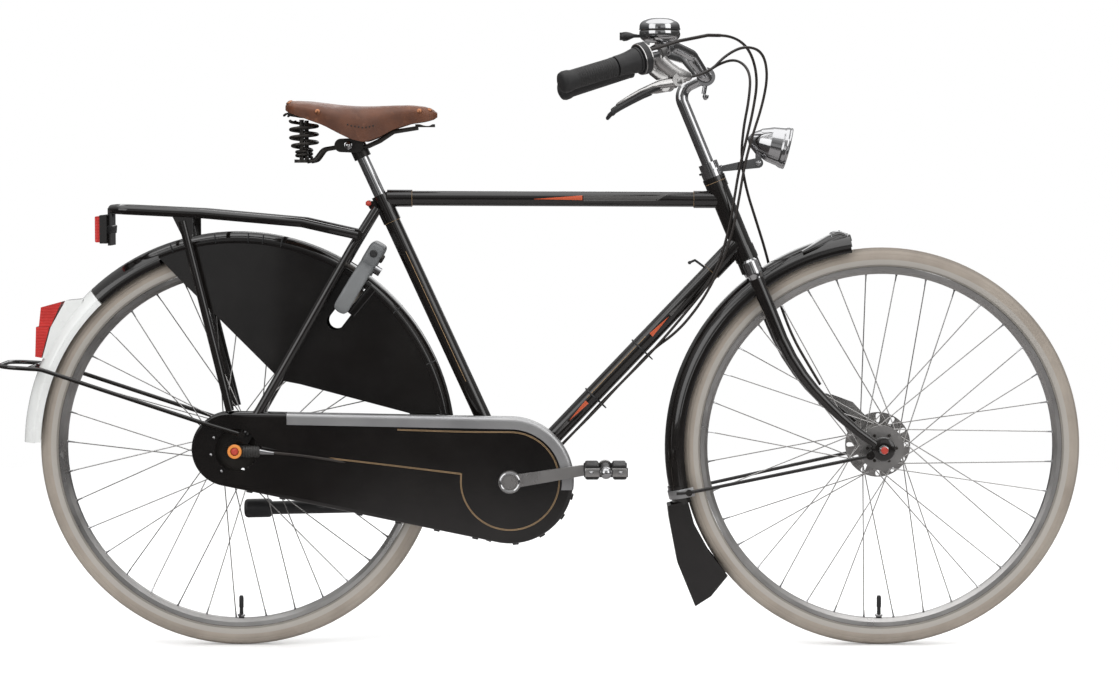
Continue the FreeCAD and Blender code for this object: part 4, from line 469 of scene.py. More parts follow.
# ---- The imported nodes' finishes
WEARS = {
    black_enamel: "head_tube seat_tube chain_stays seat_stays rear_mudguard rear_stay_loop rear_rack fork "
                  "front_mudguard front_mudguard_stays",
    top_tube_paint: "top_tube",
    down_tube_paint: "down_tube",
    case_plastic: "chaincase_outer chaincase_inner chaincase_rear_cap",
    guard_vinyl: "coat_guards mud_flap",
    white_enamel: "mudguard_tail",
    red_lens: "rear_lenses",
    clear_lens: "headlamp_lens",
    chrome: "handlebar stem seat_post bell headlamp_shell headset_nuts lock_shackle",
    satin_alloy: "chaincase_trim",
    alloy: "bar_controls front_hub front_brake crank_arms rear_hub",
    rim_alloy: "front_rim rear_rim",
    spoke_steel: "front_spokes rear_spokes front_axle",
    dark_steel: "rear_axle rear_brake chain chainring rear_sprocket saddle_frame saddle_springs",
    black_plastic: "right_brake_lever left_brake_lever bell_lever side_stand",
    grey_plastic: "ring_lock_body",
    grip_rubber: "right_pedal left_pedal grips twist_grip",
    cable_sheath: "shift_cable rear_brake_cable front_brake_cable",
    front_tyre_rubber: "front_tyre",
    rear_tyre_rubber: "rear_tyre",
    leather: "saddle_leather",
}
for material, names in WEARS.items():
    for name in names.split():
        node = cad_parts[name]
        if not node.material_slots:
            node.data.materials.append(material)
        for material_slot in node.material_slots:
            material_slot.material = material


# ---- Modelling helpers
SIDES = ((1, "left"), (-1, "right"))


def take(name, material, body, smooth=40):
    """Name the piece just made, apply its place, give it its finish and let it ride on its body."""
    piece = bpy.context.object
    piece.name = name
    piece.data.name = name
    bpy.ops.object.transform_apply(location=True, rotation=True, scale=True)
    for modifier in list(piece.modifiers):
        bpy.ops.object.modifier_apply(modifier=modifier.name)
    if smooth:
        bpy.ops.object.shade_smooth_by_angle(angle=math.radians(smooth))
    piece.data.materials.clear()
    piece.data.materials.append(material)
    bpy.ops.object.select_all(action="DESELECT")
    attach(piece, body)
    return piece


def turn_to(direction):
    """The rotation that lays a primitive's own Z along a direction."""
    return Vector(direction).to_track_quat("Z", "Y").to_euler()


def bevelled(width, segments=2):
    modifier = bpy.context.object.modifiers.new("rounded", "BEVEL")
    modifier.width = width
    modifier.segments = segments
    modifier.limit_method = "ANGLE"
    modifier.angle_limit = math.radians(35)


def block(name, size, material, body, at=(0, 0, 0), turn=(0, 0, 0), edge=0.0012, segments=2):
    """A box with rounded edges."""
    bpy.ops.mesh.primitive_cube_add(size=1, location=at, rotation=turn)
    bpy.context.object.dimensions = size
    bevelled(edge, segments)
    return take(name, material, body)


def spun(name, profile, at, along, material, body, steps=48, smooth=35):
    """A turned piece: a profile of (radius, distance along) spun about an axis."""
    bpy.ops.mesh.primitive_plane_add(size=0.01)
    piece = bpy.context.object
    bpy.ops.object.mode_set(mode="EDIT")
    bpy.ops.mesh.select_all(action="SELECT")
    bpy.ops.mesh.merge(type="CENTER")
    bpy.ops.transform.translate(value=(profile[0][0], 0, profile[0][1]))
    for (before_r, before_z), (radius, distance) in zip(profile, profile[1:]):
        bpy.ops.mesh.extrude_vertices_move(
            TRANSFORM_OT_translate={"value": (radius - before_r, 0, distance - before_z)}
        )
    bpy.ops.mesh.select_all(action="SELECT")
    bpy.ops.mesh.spin(steps=steps, angle=2 * math.pi, center=(0, 0, 0), axis=(0, 0, 1))
    bpy.ops.mesh.select_all(action="SELECT")
    bpy.ops.mesh.remove_doubles(threshold=0.00001)
    bpy.ops.mesh.normals_make_consistent(inside=False)
    bpy.ops.object.mode_set(mode="OBJECT")
    piece.rotation_euler = turn_to(along)
    piece.location = at
    return take(name, material, body, smooth)


def joined(name, pieces):
    """Several pieces of one kind as one object."""
    for piece in pieces:
        piece.select_set(True)
    bpy.context.view_layer.objects.active = pieces[0]
    bpy.ops.object.join()
    whole = bpy.context.object
    whole.name = name
    bpy.ops.object.select_all(action="DESELECT")
    return whole


def drawn_curve(points, order=3, cyclic=False):
    """A NURBS path near its points, or through them at order 2."""
    bpy.ops.curve.primitive_nurbs_path_add(location=(0, 0, 0))
    piece = bpy.context.object
    piece.data.splines.clear()
    line = piece.data.splines.new("NURBS")
    line.points.add(len(points) - 1)
    for point, at in zip(line.points, points):
        point.co = (*at, 1)
    line.order_u = order
    line.use_endpoint_u = not cyclic
    line.use_cyclic_u = cyclic
    return piece


def wire(name, points, radius, material, body, cyclic=False, order=3):
    """A bent wire or a painted line, thin and round."""
    curve = drawn_curve(points, order, cyclic).data
    curve.bevel_depth = radius
    curve.bevel_resolution = 3
    curve.use_fill_caps = True
    bpy.ops.object.convert(target="MESH")
    return take(name, material, body)


def nut(name, at, along, width, height, material, body, dome=True):
    """A six-sided nut with a rounded top."""
    along = Vector(along).normalized()
    bpy.ops.mesh.primitive_cylinder_add(
        vertices=6, radius=width / 2, depth=height,
        location=Vector(at) + along * (height / 2), rotation=turn_to(along),
    )
    bevelled(width * 0.06)
    piece = take(name, material, body)
    if not dome:
        return piece
    bpy.ops.mesh.primitive_uv_sphere_add(
        segments=16, ring_count=8, radius=width * 0.38, location=Vector(at) + along * (height * 0.95)
    )
    cap = take(name + "_cap", material, body)
    return joined(name, [piece, cap])


def ring(name, at, along, radius, thickness, material, body):
    bpy.ops.mesh.primitive_torus_add(
        major_radius=radius, minor_radius=thickness, major_segments=48, minor_segments=6,
        location=at, rotation=turn_to(along),
    )
    return take(name, material, body)


def copies(name, piece, matrices):
    """A small piece repeated at each matrix, as one object. The first piece is used up."""
    made = []
    for matrix in matrices:
        twin = piece.copy()
        twin.data = piece.data.copy()
        twin.data.transform(matrix)
        bpy.context.collection.objects.link(twin)
        made.append(twin)
    bpy.data.objects.remove(piece)
    return joined(name, made)


def swept(name, stations, across, material, body, around=16, power=0.8):
    """A bar swept through (point, half width, half thickness), rounded off like a pebble at power 1."""
    bpy.ops.mesh.primitive_grid_add(x_subdivisions=len(stations) - 1, y_subdivisions=around, size=2)
    piece = bpy.context.object
    points = [Vector(station[0]) for station in stations]
    for vertex in piece.data.vertices:
        row = round((vertex.co.x + 1) / 2 * (len(stations) - 1))
        turn = math.pi * (vertex.co.y + 1)
        along = points[min(row + 1, len(points) - 1)] - points[max(row - 1, 0)]
        wide = across[row] if isinstance(across, list) else across
        wide = (wide - along * (wide.dot(along) / along.length_squared)).normalized()
        high = along.normalized().cross(wide)
        cosine, sine = math.cos(turn), math.sin(turn)
        sideways = math.copysign(abs(cosine) ** power, cosine) * stations[row][1]
        upward = math.copysign(abs(sine) ** power, sine) * stations[row][2]
        vertex.co = points[row] + wide * sideways + high * upward
    bpy.ops.object.mode_set(mode="EDIT")
    bpy.ops.mesh.select_all(action="SELECT")
    bpy.ops.mesh.remove_doubles(threshold=0.00002)
    bpy.ops.mesh.fill_holes(sides=0)
    bpy.ops.mesh.select_all(action="SELECT")
    bpy.ops.mesh.normals_make_consistent(inside=False)
    bpy.ops.object.mode_set(mode="OBJECT")
    return take(name, material, body, 50)


def facing(at, along):
    """The matrix that stands a piece made at the origin on a point, along a direction."""
    return Matrix.Translation(at) @ Vector(along).to_track_quat("Z", "Y").to_matrix().to_4x4()


# ---- Cables
def down_side(along, reach, side):
    under = Vector((DOWN_ALONG.z, 0, -DOWN_ALONG.x))
    return DOWN_LOW + DOWN_ALONG * along + under * reach + ACROSS * side


def clipped_run(first, side):
    return [down_side(0.001 * (first - 64 * k), 0.0205 + 0.002 * (k % 2), side) for k in range(first // 64)]


def millimetres(*points):
    return [Vector(point) * 0.001 for point in points]


def cable(name, node, points, body):
    """A cable housing as one smooth tube: it rides on its body, or is fixed in place where it has none."""
    piece = drawn_curve(points)
    curve = piece.data
    bare = bpy.data.meshes.new_from_object(piece)
    bpy.data.meshes.remove(bare)
    curve.bevel_depth = 0.0025
    curve.bevel_resolution = 2
    curve.use_fill_caps = True
    bpy.ops.object.convert(target="MESH")
    piece = bpy.context.object
    piece.name = name
    bpy.ops.object.shade_smooth_by_angle(angle=math.radians(60))
    piece.data.materials.clear()
    piece.data.materials.append(cable_sheath)
    bpy.ops.object.select_all(action="DESELECT")
    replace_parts(piece, node)
    if body:
        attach(piece, body)
    else:
        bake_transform(piece)
    return piece


wire("gear_cable_guide", millimetres(
    (184.6, -240.7, 1052.6), (228.3, -218, 1066.5), (236, -214, 1069), (243.8, -206.2, 1070.8),
    (280.2, -169.8, 1079.2), (288, -162, 1081), (291.5, -157.4, 1081.2), (311, -131, 1082),
), 0.0031, cable_sheath, "steering")
cable("gear_cable", "shift_cable", millimetres(
    (311, -131, 1082), (334, -100, 1083), (368, -50, 1062),
    (384, -24, 1012), (376, -22, 955), (363, -26, 900), (350, -29, 846), (342, -31, 795), (333, -31, 743),
    (318, -29, 690), (296, -24, 644), (266, -12, 606),
) + clipped_run(385, -0.007) + millimetres(
    (-24, -8, 272), (-80, -14, 268), (-128, -20, 283), (-178, -30, 296), (-226, -49, 306), (-274, -59, 318),
    (-330, -61, 331), (-382, -68, 341), (-440, -76, 350), (-494, -86, 355.5),
), None)
cable("rear_brake_line", "rear_brake_cable", [
    LEVER_PIVOT + CABLE_WAY * 0.030,
    LEVER_PIVOT + CABLE_WAY * 0.066,
] + millimetres(
    (320, -136, 1048), (356, -92, 1066), (390, -52, 1058), (401, -34, 1018), (392, -29, 965), (374, -32, 910),
    (360, -37, 858), (351, -39, 802), (341, -40, 748), (325, -39, 696), (303, -36, 648),
) + [
    down_side(0.452, 0.025, -0.030),
    down_side(0.396, 0.030, -0.013),
] + clipped_run(340, 0.007) + millimetres(
    (-24, 10, 272), (-80, 20, 268), (-136, 32, 285), (-194, 41.5, 301), (-254, 45, 307), (-320, 46, 314),
    (-366, 48, 312), (-404, 49.5, 316),
), None)
cable("front_brake_line", "front_brake_cable", [
    other_side(LEVER_PIVOT + CABLE_WAY * 0.030),
    other_side(LEVER_PIVOT + CABLE_WAY * 0.066),
] + millimetres(
    (322, 132, 1042), (354, 90, 1050), (376, 48, 1025), (372, 30, 975), (362, 30, 925), (358, 34, 870),
    (368, 40, 815), (386, 46, 760), (404, 54, 705), (418, 60, 650), (436, 62, 595), (456, 63, 545),
    (482, 64, 500), (505, 62, 462),
), "steering")
# Clips that hold the cables under the down tube
clips = []
for along in (0.33, 0.21, 0.09):
    clips.append(ring("cable_clip", DOWN_LOW + DOWN_ALONG * along, DOWN_ALONG, 0.0170, 0.0016,
                      black_plastic, "frame"))
    clips.append(ring("cable_clip_eye", down_side(along, 0.0205, 0.0), DOWN_ALONG, 0.0118, 0.0012,
                      black_plastic, "frame"))
joined("cable_clips", clips)

# ---- Wheels: tyres, nipples, valves
TYRE_CENTRE = 0.336
TYRE_SECTION = 0.020


def tyre_profile():
    """The tyre's section from bead to bead, with grooves round the tread."""
    grooves = (-24, -9, 9, 24)
    profile = [(0.3225, -0.0140)]
    for step in range(-44, 45):
        degrees = step * 3
        radius = TYRE_SECTION
        if any(abs(degrees - groove) <= 1.6 for groove in grooves):
            radius -= 0.0010
        if abs(abs(degrees) - 66) <= 1.6:
            radius -= 0.0004
        turn = math.radians(degrees)
        profile.append((TYRE_CENTRE + radius * math.cos(turn), radius * math.sin(turn)))
    profile += [(0.3225, 0.0140), (0.3225, -0.0140)]
    return profile


def spokes_of(axle, flange_radius, right_flange, left_flange, phase):
    """Each spoke's rim end and its direction towards the hub."""
    ends = []
    for side, flange in ((0, right_flange), (1, left_flange)):
        for k in range(18):
            at_hub = 20 * k + 10 * side + phase
            at_rim = at_hub + (60 if k % 2 == 0 else -60)
            hub_end = about(axle, flange_radius - 0.003, at_hub, flange)
            rim_end = about(axle, 0.309, at_rim, 0.002 if side else -0.002)
            ends.append((rim_end, (hub_end - rim_end).normalized()))
    return ends


for end, axle, rubber, spokes in (
    ("front", FRONT_AXLE, front_tyre_rubber, spokes_of(FRONT_AXLE, 0.040, -0.02725, 0.02725, 5)),
    ("rear", REAR_AXLE, rear_tyre_rubber, spokes_of(REAR_AXLE, 0.036, -0.02825, 0.02525, 8.3)),
):
    body = end + "_wheel"
    casing = spun(end + "_tyre_casing", tyre_profile(), axle, ACROSS, rubber, body, steps=144)
    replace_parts(casing, end + "_tyre")
    nipple = spun("nipple", ((0, 0.013), (0.0012, 0.013), (0.0015, 0.003), (0.0022, 0.001), (0.0022, -0.001)),
                  Vector(), UP, chrome, body, steps=8)
    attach(copies(end + "_nipples", nipple, [facing(at, way) for at, way in spokes]), body)
    foot = about(axle, 0.3085, 270)
    spun(end + "_valve_stem", (
        (0.0052, 0), (0.0052, 0.002), (0.0036, 0.004), (0.0033, 0.018), (0.0041, 0.020), (0.0041, 0.036),
        (0.0030, 0.040), (0, 0.040),
    ), foot, UP, black_plastic, body, steps=20)
    spun(end + "_valve_nut", ((0.0036, 0.003), (0.0068, 0.003), (0.0068, 0.006), (0.0036, 0.007)),
         foot, UP, chrome, body, steps=12)

# Front hub: bolts that hold the brake disc, then the axle nuts, the brake arm's cover, the fork stays' lugs
# and the axle cap
bolts = []
for k in range(6):
    bolts.append(nut("disc_bolt", about(FRONT_AXLE, 0.026, 60 * k, -0.0295), -ACROSS, 0.006, 0.003,
                     dark_steel, "front_wheel", dome=False))
joined("hub_cover_bolts", bolts)
for end, axle, body in (("front", FRONT_AXLE, "steering"), ("rear", REAR_AXLE, "frame")):
    reach = 0.063 if end == "front" else 0.070
    for side, label in SIDES:
        if end == "rear" and side < 0:
            continue
        nut(end + "_axle_nut_" + label, axle + ACROSS * (side * reach), ACROSS * side, 0.017, 0.008,
            chrome, body)
swept("brake_arm_cover", [
    (about(FRONT_AXLE, 0.046, 139.5, 0.0432), 0.0012, 0.0100),
    (Vector((0.5420, 0.0438, 0.4110)), 0.0012, 0.0090), (Vector((0.5130, 0.0442, 0.4360)), 0.0012, 0.0075),
], ACROSS, black_enamel, "steering", around=12, power=0.5)
for side, label in SIDES:
    swept("fork_stay_lug_" + label, [
        (about(FRONT_AXLE, 0.014, 202, side * 0.0550), 0.0020, 0.0090),
        (Vector((0.5870, side * 0.0550, 0.3480)), 0.0022, 0.0080),
        (Vector((0.5790, side * 0.0550, 0.3447)), 0.0022, 0.0055),
    ], ACROSS, black_enamel, "steering", around=16, power=0.7)
spun("front_axle_cap", ((0, 0.0125), (0.004, 0.012), (0.0065, 0.009), (0.0065, 0), (0, 0)),
     FRONT_AXLE - ACROSS * 0.0665, -ACROSS, red_paint, "steering", steps=24)

# Gear hub end: indicator ring, red cap, ribbed barrel and cable cone
hub_end = REAR_AXLE - ACROSS * 0.0905
spun("gear_ring", ((0.0075, 0), (0.0125, 0), (0.0125, 0.003), (0.0115, 0.004), (0.0075, 0.004), (0.0075, 0)),
     hub_end, -ACROSS, orange_plastic, "frame", steps=32)
spun("gear_cap", ((0, 0.0065), (0.004, 0.006), (0.0065, 0.003), (0.0065, 0), (0, 0)),
     hub_end, -ACROSS, red_paint, "frame", steps=24)
ribs = [(0.0095, 0.0)]
for k in range(6):
    ribs += [(0.0105, 0.001 + 0.0045 * k), (0.0105, 0.0030 + 0.0045 * k),
             (0.0094, 0.0036 + 0.0045 * k), (0.0094, 0.0050 + 0.0045 * k)]
ribs += [(0.0070, 0.0290), (0.0, 0.0290)]
spun("gear_barrel", ribs, Vector((-0.5225, -0.086, 0.3555)), Vector((1, 0, 0)), black_plastic, "frame",
     steps=28)
spun("gear_cable_cone", ((0.0055, 0), (0.0052, 0.004), (0.0032, 0.020), (0.0029, 0.026), (0.0026, 0.026)),
     Vector((-0.4945, -0.086, 0.3555)), Vector((1, -0.03, -0.12)), chrome, "frame", steps=20)

# ---- Saddle leather, riveted to its cantle and nose, and laced under its waist
HIDE = (
    (-0.4490, 0.046, 0.9655, 0.9545),
    (-0.4430, 0.074, 0.9705, 0.9510),
    (-0.4300, 0.086, 0.9720, 0.9460),
    (-0.4050, 0.090, 0.9710, 0.9370),
    (-0.3800, 0.087, 0.9680, 0.9280),
    (-0.3550, 0.078, 0.9650, 0.9150),
    (-0.3300, 0.064, 0.9630, 0.9030),
    (-0.3100, 0.052, 0.9625, 0.8985),
    (-0.2850, 0.041, 0.9630, 0.9075),
    (-0.2600, 0.033, 0.9640, 0.9210),
    (-0.2300, 0.0270, 0.9645, 0.9310),
    (-0.2050, 0.0225, 0.9620, 0.9345),
    (-0.1900, 0.0165, 0.9565, 0.9385),
    (-0.1835, 0.0070, 0.9510, 0.9430),
)
HIDE_REAR = HIDE[0][0]
HIDE_NOSE = HIDE[-1][0]


def hide_point(x, across):
    """A point of the leather: 0 is its spine, -1 and 1 the skirts' lower edges."""
    x = min(max(x, HIDE_REAR), HIDE_NOSE)
    for near, far in zip(HIDE, HIDE[1:]):
        if x <= far[0]:
            break
    share = (x - near[0]) / (far[0] - near[0])
    wide, top, low = [near[k] + share * (far[k] - near[k]) for k in (1, 2, 3)]
    spine = abs(across)
    side = wide * math.sin(math.pi / 2 * spine) ** 0.85 * (1 - 0.07 * spine ** 6)
    drop = max(math.cos(math.pi / 2 * spine), 0) ** 0.42
    return Vector((x, math.copysign(side, across), low + (top - low) * drop))


def hide_facing(x, across, lift):
    """The matrix of a rivet on the leather."""
    small = 0.002
    along = hide_point(x + small, across) - hide_point(x - small, across)
    over = hide_point(x, across + small) - hide_point(x, across - small)
    out = along.cross(over).normalized()
    return facing(hide_point(x, across) + out * lift, out)


bpy.ops.mesh.primitive_grid_add(x_subdivisions=44, y_subdivisions=28, size=2)
hide = bpy.context.object
for vertex in hide.data.vertices:
    reach = 0.5 - 0.5 * math.cos(math.pi * (vertex.co.x + 1) / 2)
    reach = 0.5 * reach + 0.5 * (vertex.co.x + 1) / 2
    vertex.co = hide_point(HIDE_REAR + reach * (HIDE_NOSE - HIDE_REAR), vertex.co.y)
thick = hide.modifiers.new("hide", "SOLIDIFY")
thick.thickness = 0.0045
thick.offset = -1
rounded = hide.modifiers.new("edge", "BEVEL")
rounded.width = 0.0012
rounded.segments = 2
rounded.angle_limit = math.radians(50)
softer = hide.modifiers.new("smooth", "SUBSURF")
softer.levels = 1
softer.render_levels = 1
hide = take("saddle_hide", leather, "saddle", smooth=60)
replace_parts(hide, "saddle_leather")
rivet = spun("rivet", ((0, 0.0018), (0.0022, 0.0016), (0.0040, 0.0009), (0.0048, 0), (0.0048, -0.001)),
             Vector(), UP, copper, "saddle", steps=20)
places = [(-0.389, side * 0.86) for side in (1, -1)]
places += [(-0.442, side * across) for side in (1, -1) for across in (0.22, 0.55)]
places += [(-0.214, side * 0.72) for side in (1, -1)] + [(-0.196, side * 0.45) for side in (1, -1)]
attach(copies("saddle_rivets", rivet, [hide_facing(x, across, 0.0003) for x, across in places]), "saddle")
eyelet = spun("eyelet", ((0, 0.0004), (0.0012, 0.0004), (0.0016, 0), (0.0016, -0.0006)),
              Vector(), UP, dark_steel, "saddle", steps=14)
holes = [(-0.338 + 0.0062 * k, side * 0.93) for k in range(8) for side in (1, -1)]
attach(copies("lace_holes", eyelet, [hide_facing(x, across, 0.0002) for x, across in holes]), "saddle")
# Cantle: the steel bow that the leather is riveted to, with its two bag loops
wire("saddle_cantle", [
    (-0.405, 0.074, 0.9440), (-0.432, 0.070, 0.9455), (-0.4425, 0.045, 0.9485), (-0.4435, 0.0, 0.9500),
    (-0.4425, -0.045, 0.9485), (-0.432, -0.070, 0.9455), (-0.405, -0.074, 0.9440),
], 0.0036, dark_steel, "saddle")
for side, label in SIDES:
    wire("bag_loop_" + label, [
        (-0.436, side * 0.030, 0.950), (-0.448, side * 0.030, 0.949), (-0.452, side * 0.030, 0.945),
        (-0.452, side * 0.048, 0.945), (-0.448, side * 0.048, 0.949), (-0.436, side * 0.048, 0.950),
    ], 0.0016, dark_steel, "saddle")
    nut("saddle_clamp_bolt_" + label, (-0.339, side * 0.034, 0.893), ACROSS * side, 0.016, 0.008,
        chrome, "saddle")

# ---- Bars: grips, twist sleeve, shifter housing, bell and lever details


def on_grip(distance, side=-1):
    at = GRIP_START + GRIP_WAY * distance
    return Vector((at.x, -side * at.y, at.z))


def grip_way(side):
    return Vector((GRIP_WAY.x, -side * GRIP_WAY.y, GRIP_WAY.z))


GRIP_LENGTH = (GRIP_END - GRIP_START).length
for name, side, first in (("right_grip_sleeve", -1, 0.0622), ("left_grip_sleeve", 1, 0.0162)):
    length = GRIP_LENGTH - first
    profile = [(0.0112, 0), (0.0150, 0), (0.0172, 0.002), (0.0172, 0.006)]
    count = int((length - 0.030) / 0.0045)
    for k in range(count):
        start = 0.008 + 0.0045 * k
        profile += [(0.0160, start), (0.0160, start + 0.0012),
                    (0.0167, start + 0.0018), (0.0167, start + 0.0038)]
    profile += [(0.0168, length - 0.020), (0.0185, length - 0.014), (0.0188, length - 0.006),
                (0.0172, length - 0.001), (0.0130, length + 0.0015), (0.0, length + 0.002)]
    sleeve = spun(name, profile, on_grip(first, side), grip_way(side), grip_rubber, "steering",
                  steps=36, smooth=50)
    if side < 0:
        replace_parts(sleeve, "grips")
ribbed = spun("twist_sleeve", (
    (0.0113, 0.0200), (0.0212, 0.0200), (0.0216, 0.0212), (0.0212, 0.0250), (0.0202, 0.0300),
    (0.0191, 0.0360), (0.0184, 0.0430), (0.0180, 0.0500), (0.0178, 0.0590), (0.0172, 0.0612),
    (0.0113, 0.0612), (0.0113, 0.0200),
), on_grip(0), GRIP_WAY, grip_rubber, "shifter", steps=48)
shoulder = spun("twist_collar", (
    (0.0113, 0), (0.0220, 0), (0.0226, 0.0015), (0.0220, 0.0040), (0.0190, 0.0050), (0.0113, 0.0050),
), on_grip(0.0152), GRIP_WAY, grip_rubber, "shifter", steps=40)
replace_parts(joined("twist_sleeve", [ribbed, shoulder]), "twist_grip")
spun("shifter_housing", ((0.0113, -0.0006), (0.0240, -0.0006), (0.0274, 0.0020), (0.0278, 0.0070),
                         (0.0274, 0.0125), (0.0250, 0.0147), (0.0113, 0.0147)),
     on_grip(0), GRIP_WAY, black_plastic, "steering", steps=44)
spun("shifter_window", ((0, 0.0012), (0.0060, 0.0010), (0.0068, 0), (0.0068, -0.003)),
     on_grip(0.007) + Vector((0.006, 0, 0.0268)), Vector((0.2, 0, 1)), grey_plastic, "steering", steps=24)
# Bell: two chrome bowls on a foot round the bar, and the thumb lever's pad
BELL_AT = Vector((0.2050, -0.180, 1.0885))
bowl = [(0.0335, 0.0002), (0.0350, 0.0006), (0.0353, 0.0018), (0.0352, 0.0048)]
for k in range(1, 13):
    turn = math.pi / 2 * k / 12
    bowl.append((0.0150 + 0.0202 * math.cos(turn), 0.0060 + 0.0158 * math.sin(turn)))
upper = bowl + [(0.0060, 0.0226), (0.0, 0.0228)]
dome = spun("bell_dome", upper, BELL_AT, UP, chrome, "steering", steps=64, smooth=30)
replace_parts(dome, "bell")
lower = [(radius, distance * 0.93) for radius, distance in bowl] + [(0.0, 0.0206)]
spun("bell_bowl", lower, BELL_AT - UP * 0.0008, -UP, chrome, "steering", steps=64, smooth=30)
spun("bell_seam", ((0.0, 0.0007), (0.0338, 0.0007), (0.0338, -0.0016), (0.0, -0.0016)), BELL_AT, UP,
     dark_steel, "steering", steps=48)
BAR_LOW = Vector((0.2136, -0.1818, 1.0582))
BAR_WAY = Vector((-0.462, -0.835, -0.300)).normalized()
spun("bell_band", ((0.0113, -0.007), (0.0136, -0.007), (0.0142, -0.006), (0.0142, 0.006), (0.0136, 0.007),
                   (0.0113, 0.007)), BAR_LOW, BAR_WAY, chrome, "steering", steps=32)
spun("bell_foot", (
    (0.0, -0.022), (0.0075, -0.022), (0.0075, -0.012), (0.0120, -0.003), (0.0120, 0.0), (0.0, 0.0),
), Vector((0.2080, -0.180, 1.0695)), UP, chrome, "steering", steps=28)
swept("bell_thumb_pad", [
    (Vector((0.1360, -0.198, 1.0762)), 0.0010, 0.0012), (Vector((0.1372, -0.198, 1.0764)), 0.0060, 0.0044),
    (Vector((0.1420, -0.198, 1.0770)), 0.0086, 0.0078), (Vector((0.1480, -0.198, 1.0777)), 0.0080, 0.0078),
    (Vector((0.1540, -0.198, 1.0784)), 0.0060, 0.0058), (Vector((0.1600, -0.198, 1.0784)), 0.0044, 0.0034),
    (Vector((0.1660, -0.198, 1.0782)), 0.0040, 0.0028),
], ACROSS, black_plastic, "bell_thumb", around=20, power=1.0)
for side, label in SIDES:
    pivot = other_side(LEVER_PIVOT) if side > 0 else LEVER_PIVOT
    way = other_side(CABLE_WAY) if side > 0 else CABLE_WAY
    spun(label + "_cable_adjuster", (
        (0.0030, 0.000), (0.0062, 0.000), (0.0066, 0.002), (0.0058, 0.003), (0.0066, 0.004), (0.0058, 0.005),
        (0.0066, 0.006), (0.0052, 0.008), (0.0046, 0.010), (0.0030, 0.010),
    ), pivot + way * 0.020, way, chrome, "steering", steps=24)
# Brake brackets cast in one leaf from the bar to the cable's barrel, and two-toned levers
for side, label in SIDES:

    def placed_at(x, y, z):
        point = Vector((x, y, z)) * 0.001
        return other_side(point) if side > 0 else point

    swept(label + "_brake_bracket", [
        (placed_at(193, -210, 1056), 0.0040, 0.0050), (placed_at(194, -210, 1053), 0.0085, 0.0100),
        (placed_at(199, -208, 1044), 0.0100, 0.0118), (placed_at(209, -205, 1032), 0.0098, 0.0122),
        (placed_at(221, -200, 1022), 0.0095, 0.0118), (placed_at(235, -195, 1014), 0.0092, 0.0112),
        (placed_at(248, -188, 1011), 0.0080, 0.0094), (placed_at(256, -184, 1010), 0.0062, 0.0070),
        (placed_at(257, -183.5, 1009.8), 0.0030, 0.0035),
    ], ACROSS, alloy, "steering", power=0.7)
    swept(label + "_lever_blade", [
        (placed_at(243, -193, 1001), 0.0030, 0.0030), (placed_at(240, -194, 1001), 0.0075, 0.0062),
        (placed_at(228, -198, 999.5), 0.0085, 0.0076), (placed_at(212, -205, 997.5), 0.0090, 0.0082),
        (placed_at(202, -210, 996), 0.0088, 0.0072), (placed_at(188, -219, 992), 0.0084, 0.0046),
        (placed_at(168, -231, 983.5), 0.0082, 0.0034), (placed_at(148, -243, 972), 0.0080, 0.0030),
        (placed_at(133, -251, 962.5), 0.0076, 0.0026), (placed_at(130, -252.5, 960), 0.0040, 0.0014),
    ], ACROSS, alloy, BLADES[side], power=0.7)
    grip_pad = swept(label + "_lever_pad", [
        (placed_at(204, -209, 991.5), 0.0040, 0.0026), (placed_at(201, -210.5, 990.5), 0.0078, 0.0048),
        (placed_at(187, -219, 985.5), 0.0086, 0.0056), (placed_at(167, -231, 975.5), 0.0086, 0.0054),
        (placed_at(147, -243, 964.5), 0.0084, 0.0050), (placed_at(134, -251, 956.5), 0.0080, 0.0048),
        (placed_at(127, -255, 950.5), 0.0074, 0.0044), (placed_at(123, -257, 944.5), 0.0066, 0.0036),
        (placed_at(122, -257.5, 942.5), 0.0036, 0.0020),
    ], ACROSS, black_plastic, BLADES[side], power=0.8)
    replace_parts(grip_pad, label + "_brake_lever")
nut("stem_bolt_head", (0.2935, 0.0, 0.9830), (-0.2, 0, -1), 0.011, 0.006, chrome, "steering")

# ---- Front dropouts' round bosses
for side, label in SIDES:
    spun(label + "_fork_end", (
        (0.0098, 0.0068), (0.0150, 0.0066), (0.0198, 0.0050), (0.0218, 0.0020), (0.0218, -0.0020),
        (0.0098, -0.0020), (0.0098, 0.0068),
    ), FRONT_AXLE + ACROSS * (side * 0.0535), ACROSS * side, black_enamel, "steering", steps=44)

# ---- Headlamp: rim, reflector, bulb and pivot nuts
LAMP_RIM = Vector((0.438, 0, 0.889))
LAMP_AHEAD = Vector((0.9717, 0, -0.2345))
spun("headlamp_bezel", ((0.0345, -0.0010), (0.0382, -0.0012), (0.0388, 0.0012), (0.0376, 0.0026),
                        (0.0345, 0.0026), (0.0345, -0.0010)), LAMP_RIM - LAMP_AHEAD * 0.0005, LAMP_AHEAD,
     chrome, "headlamp", steps=56)
spun("headlamp_reflector", ((0.0325, -0.0045), (0.0270, -0.0160), (0.0190, -0.0260), (0.0080, -0.0320),
                            (0.0070, -0.0300), (0.0180, -0.0240), (0.0258, -0.0150), (0.0310, -0.0045)),
     LAMP_RIM, LAMP_AHEAD, chrome, "headlamp", steps=40)
spun("headlamp_bulb", ((0, -0.010), (0.0030, -0.011), (0.0042, -0.016), (0.0034, -0.022), (0.0030, -0.032)),
     LAMP_RIM, LAMP_AHEAD, clear_lens, "headlamp", steps=16)
for side, label in SIDES:
    nut("lamp_pivot_nut_" + label, (0.386, side * 0.0118, 0.862), ACROSS * side, 0.010, 0.005,
        chrome, "steering")

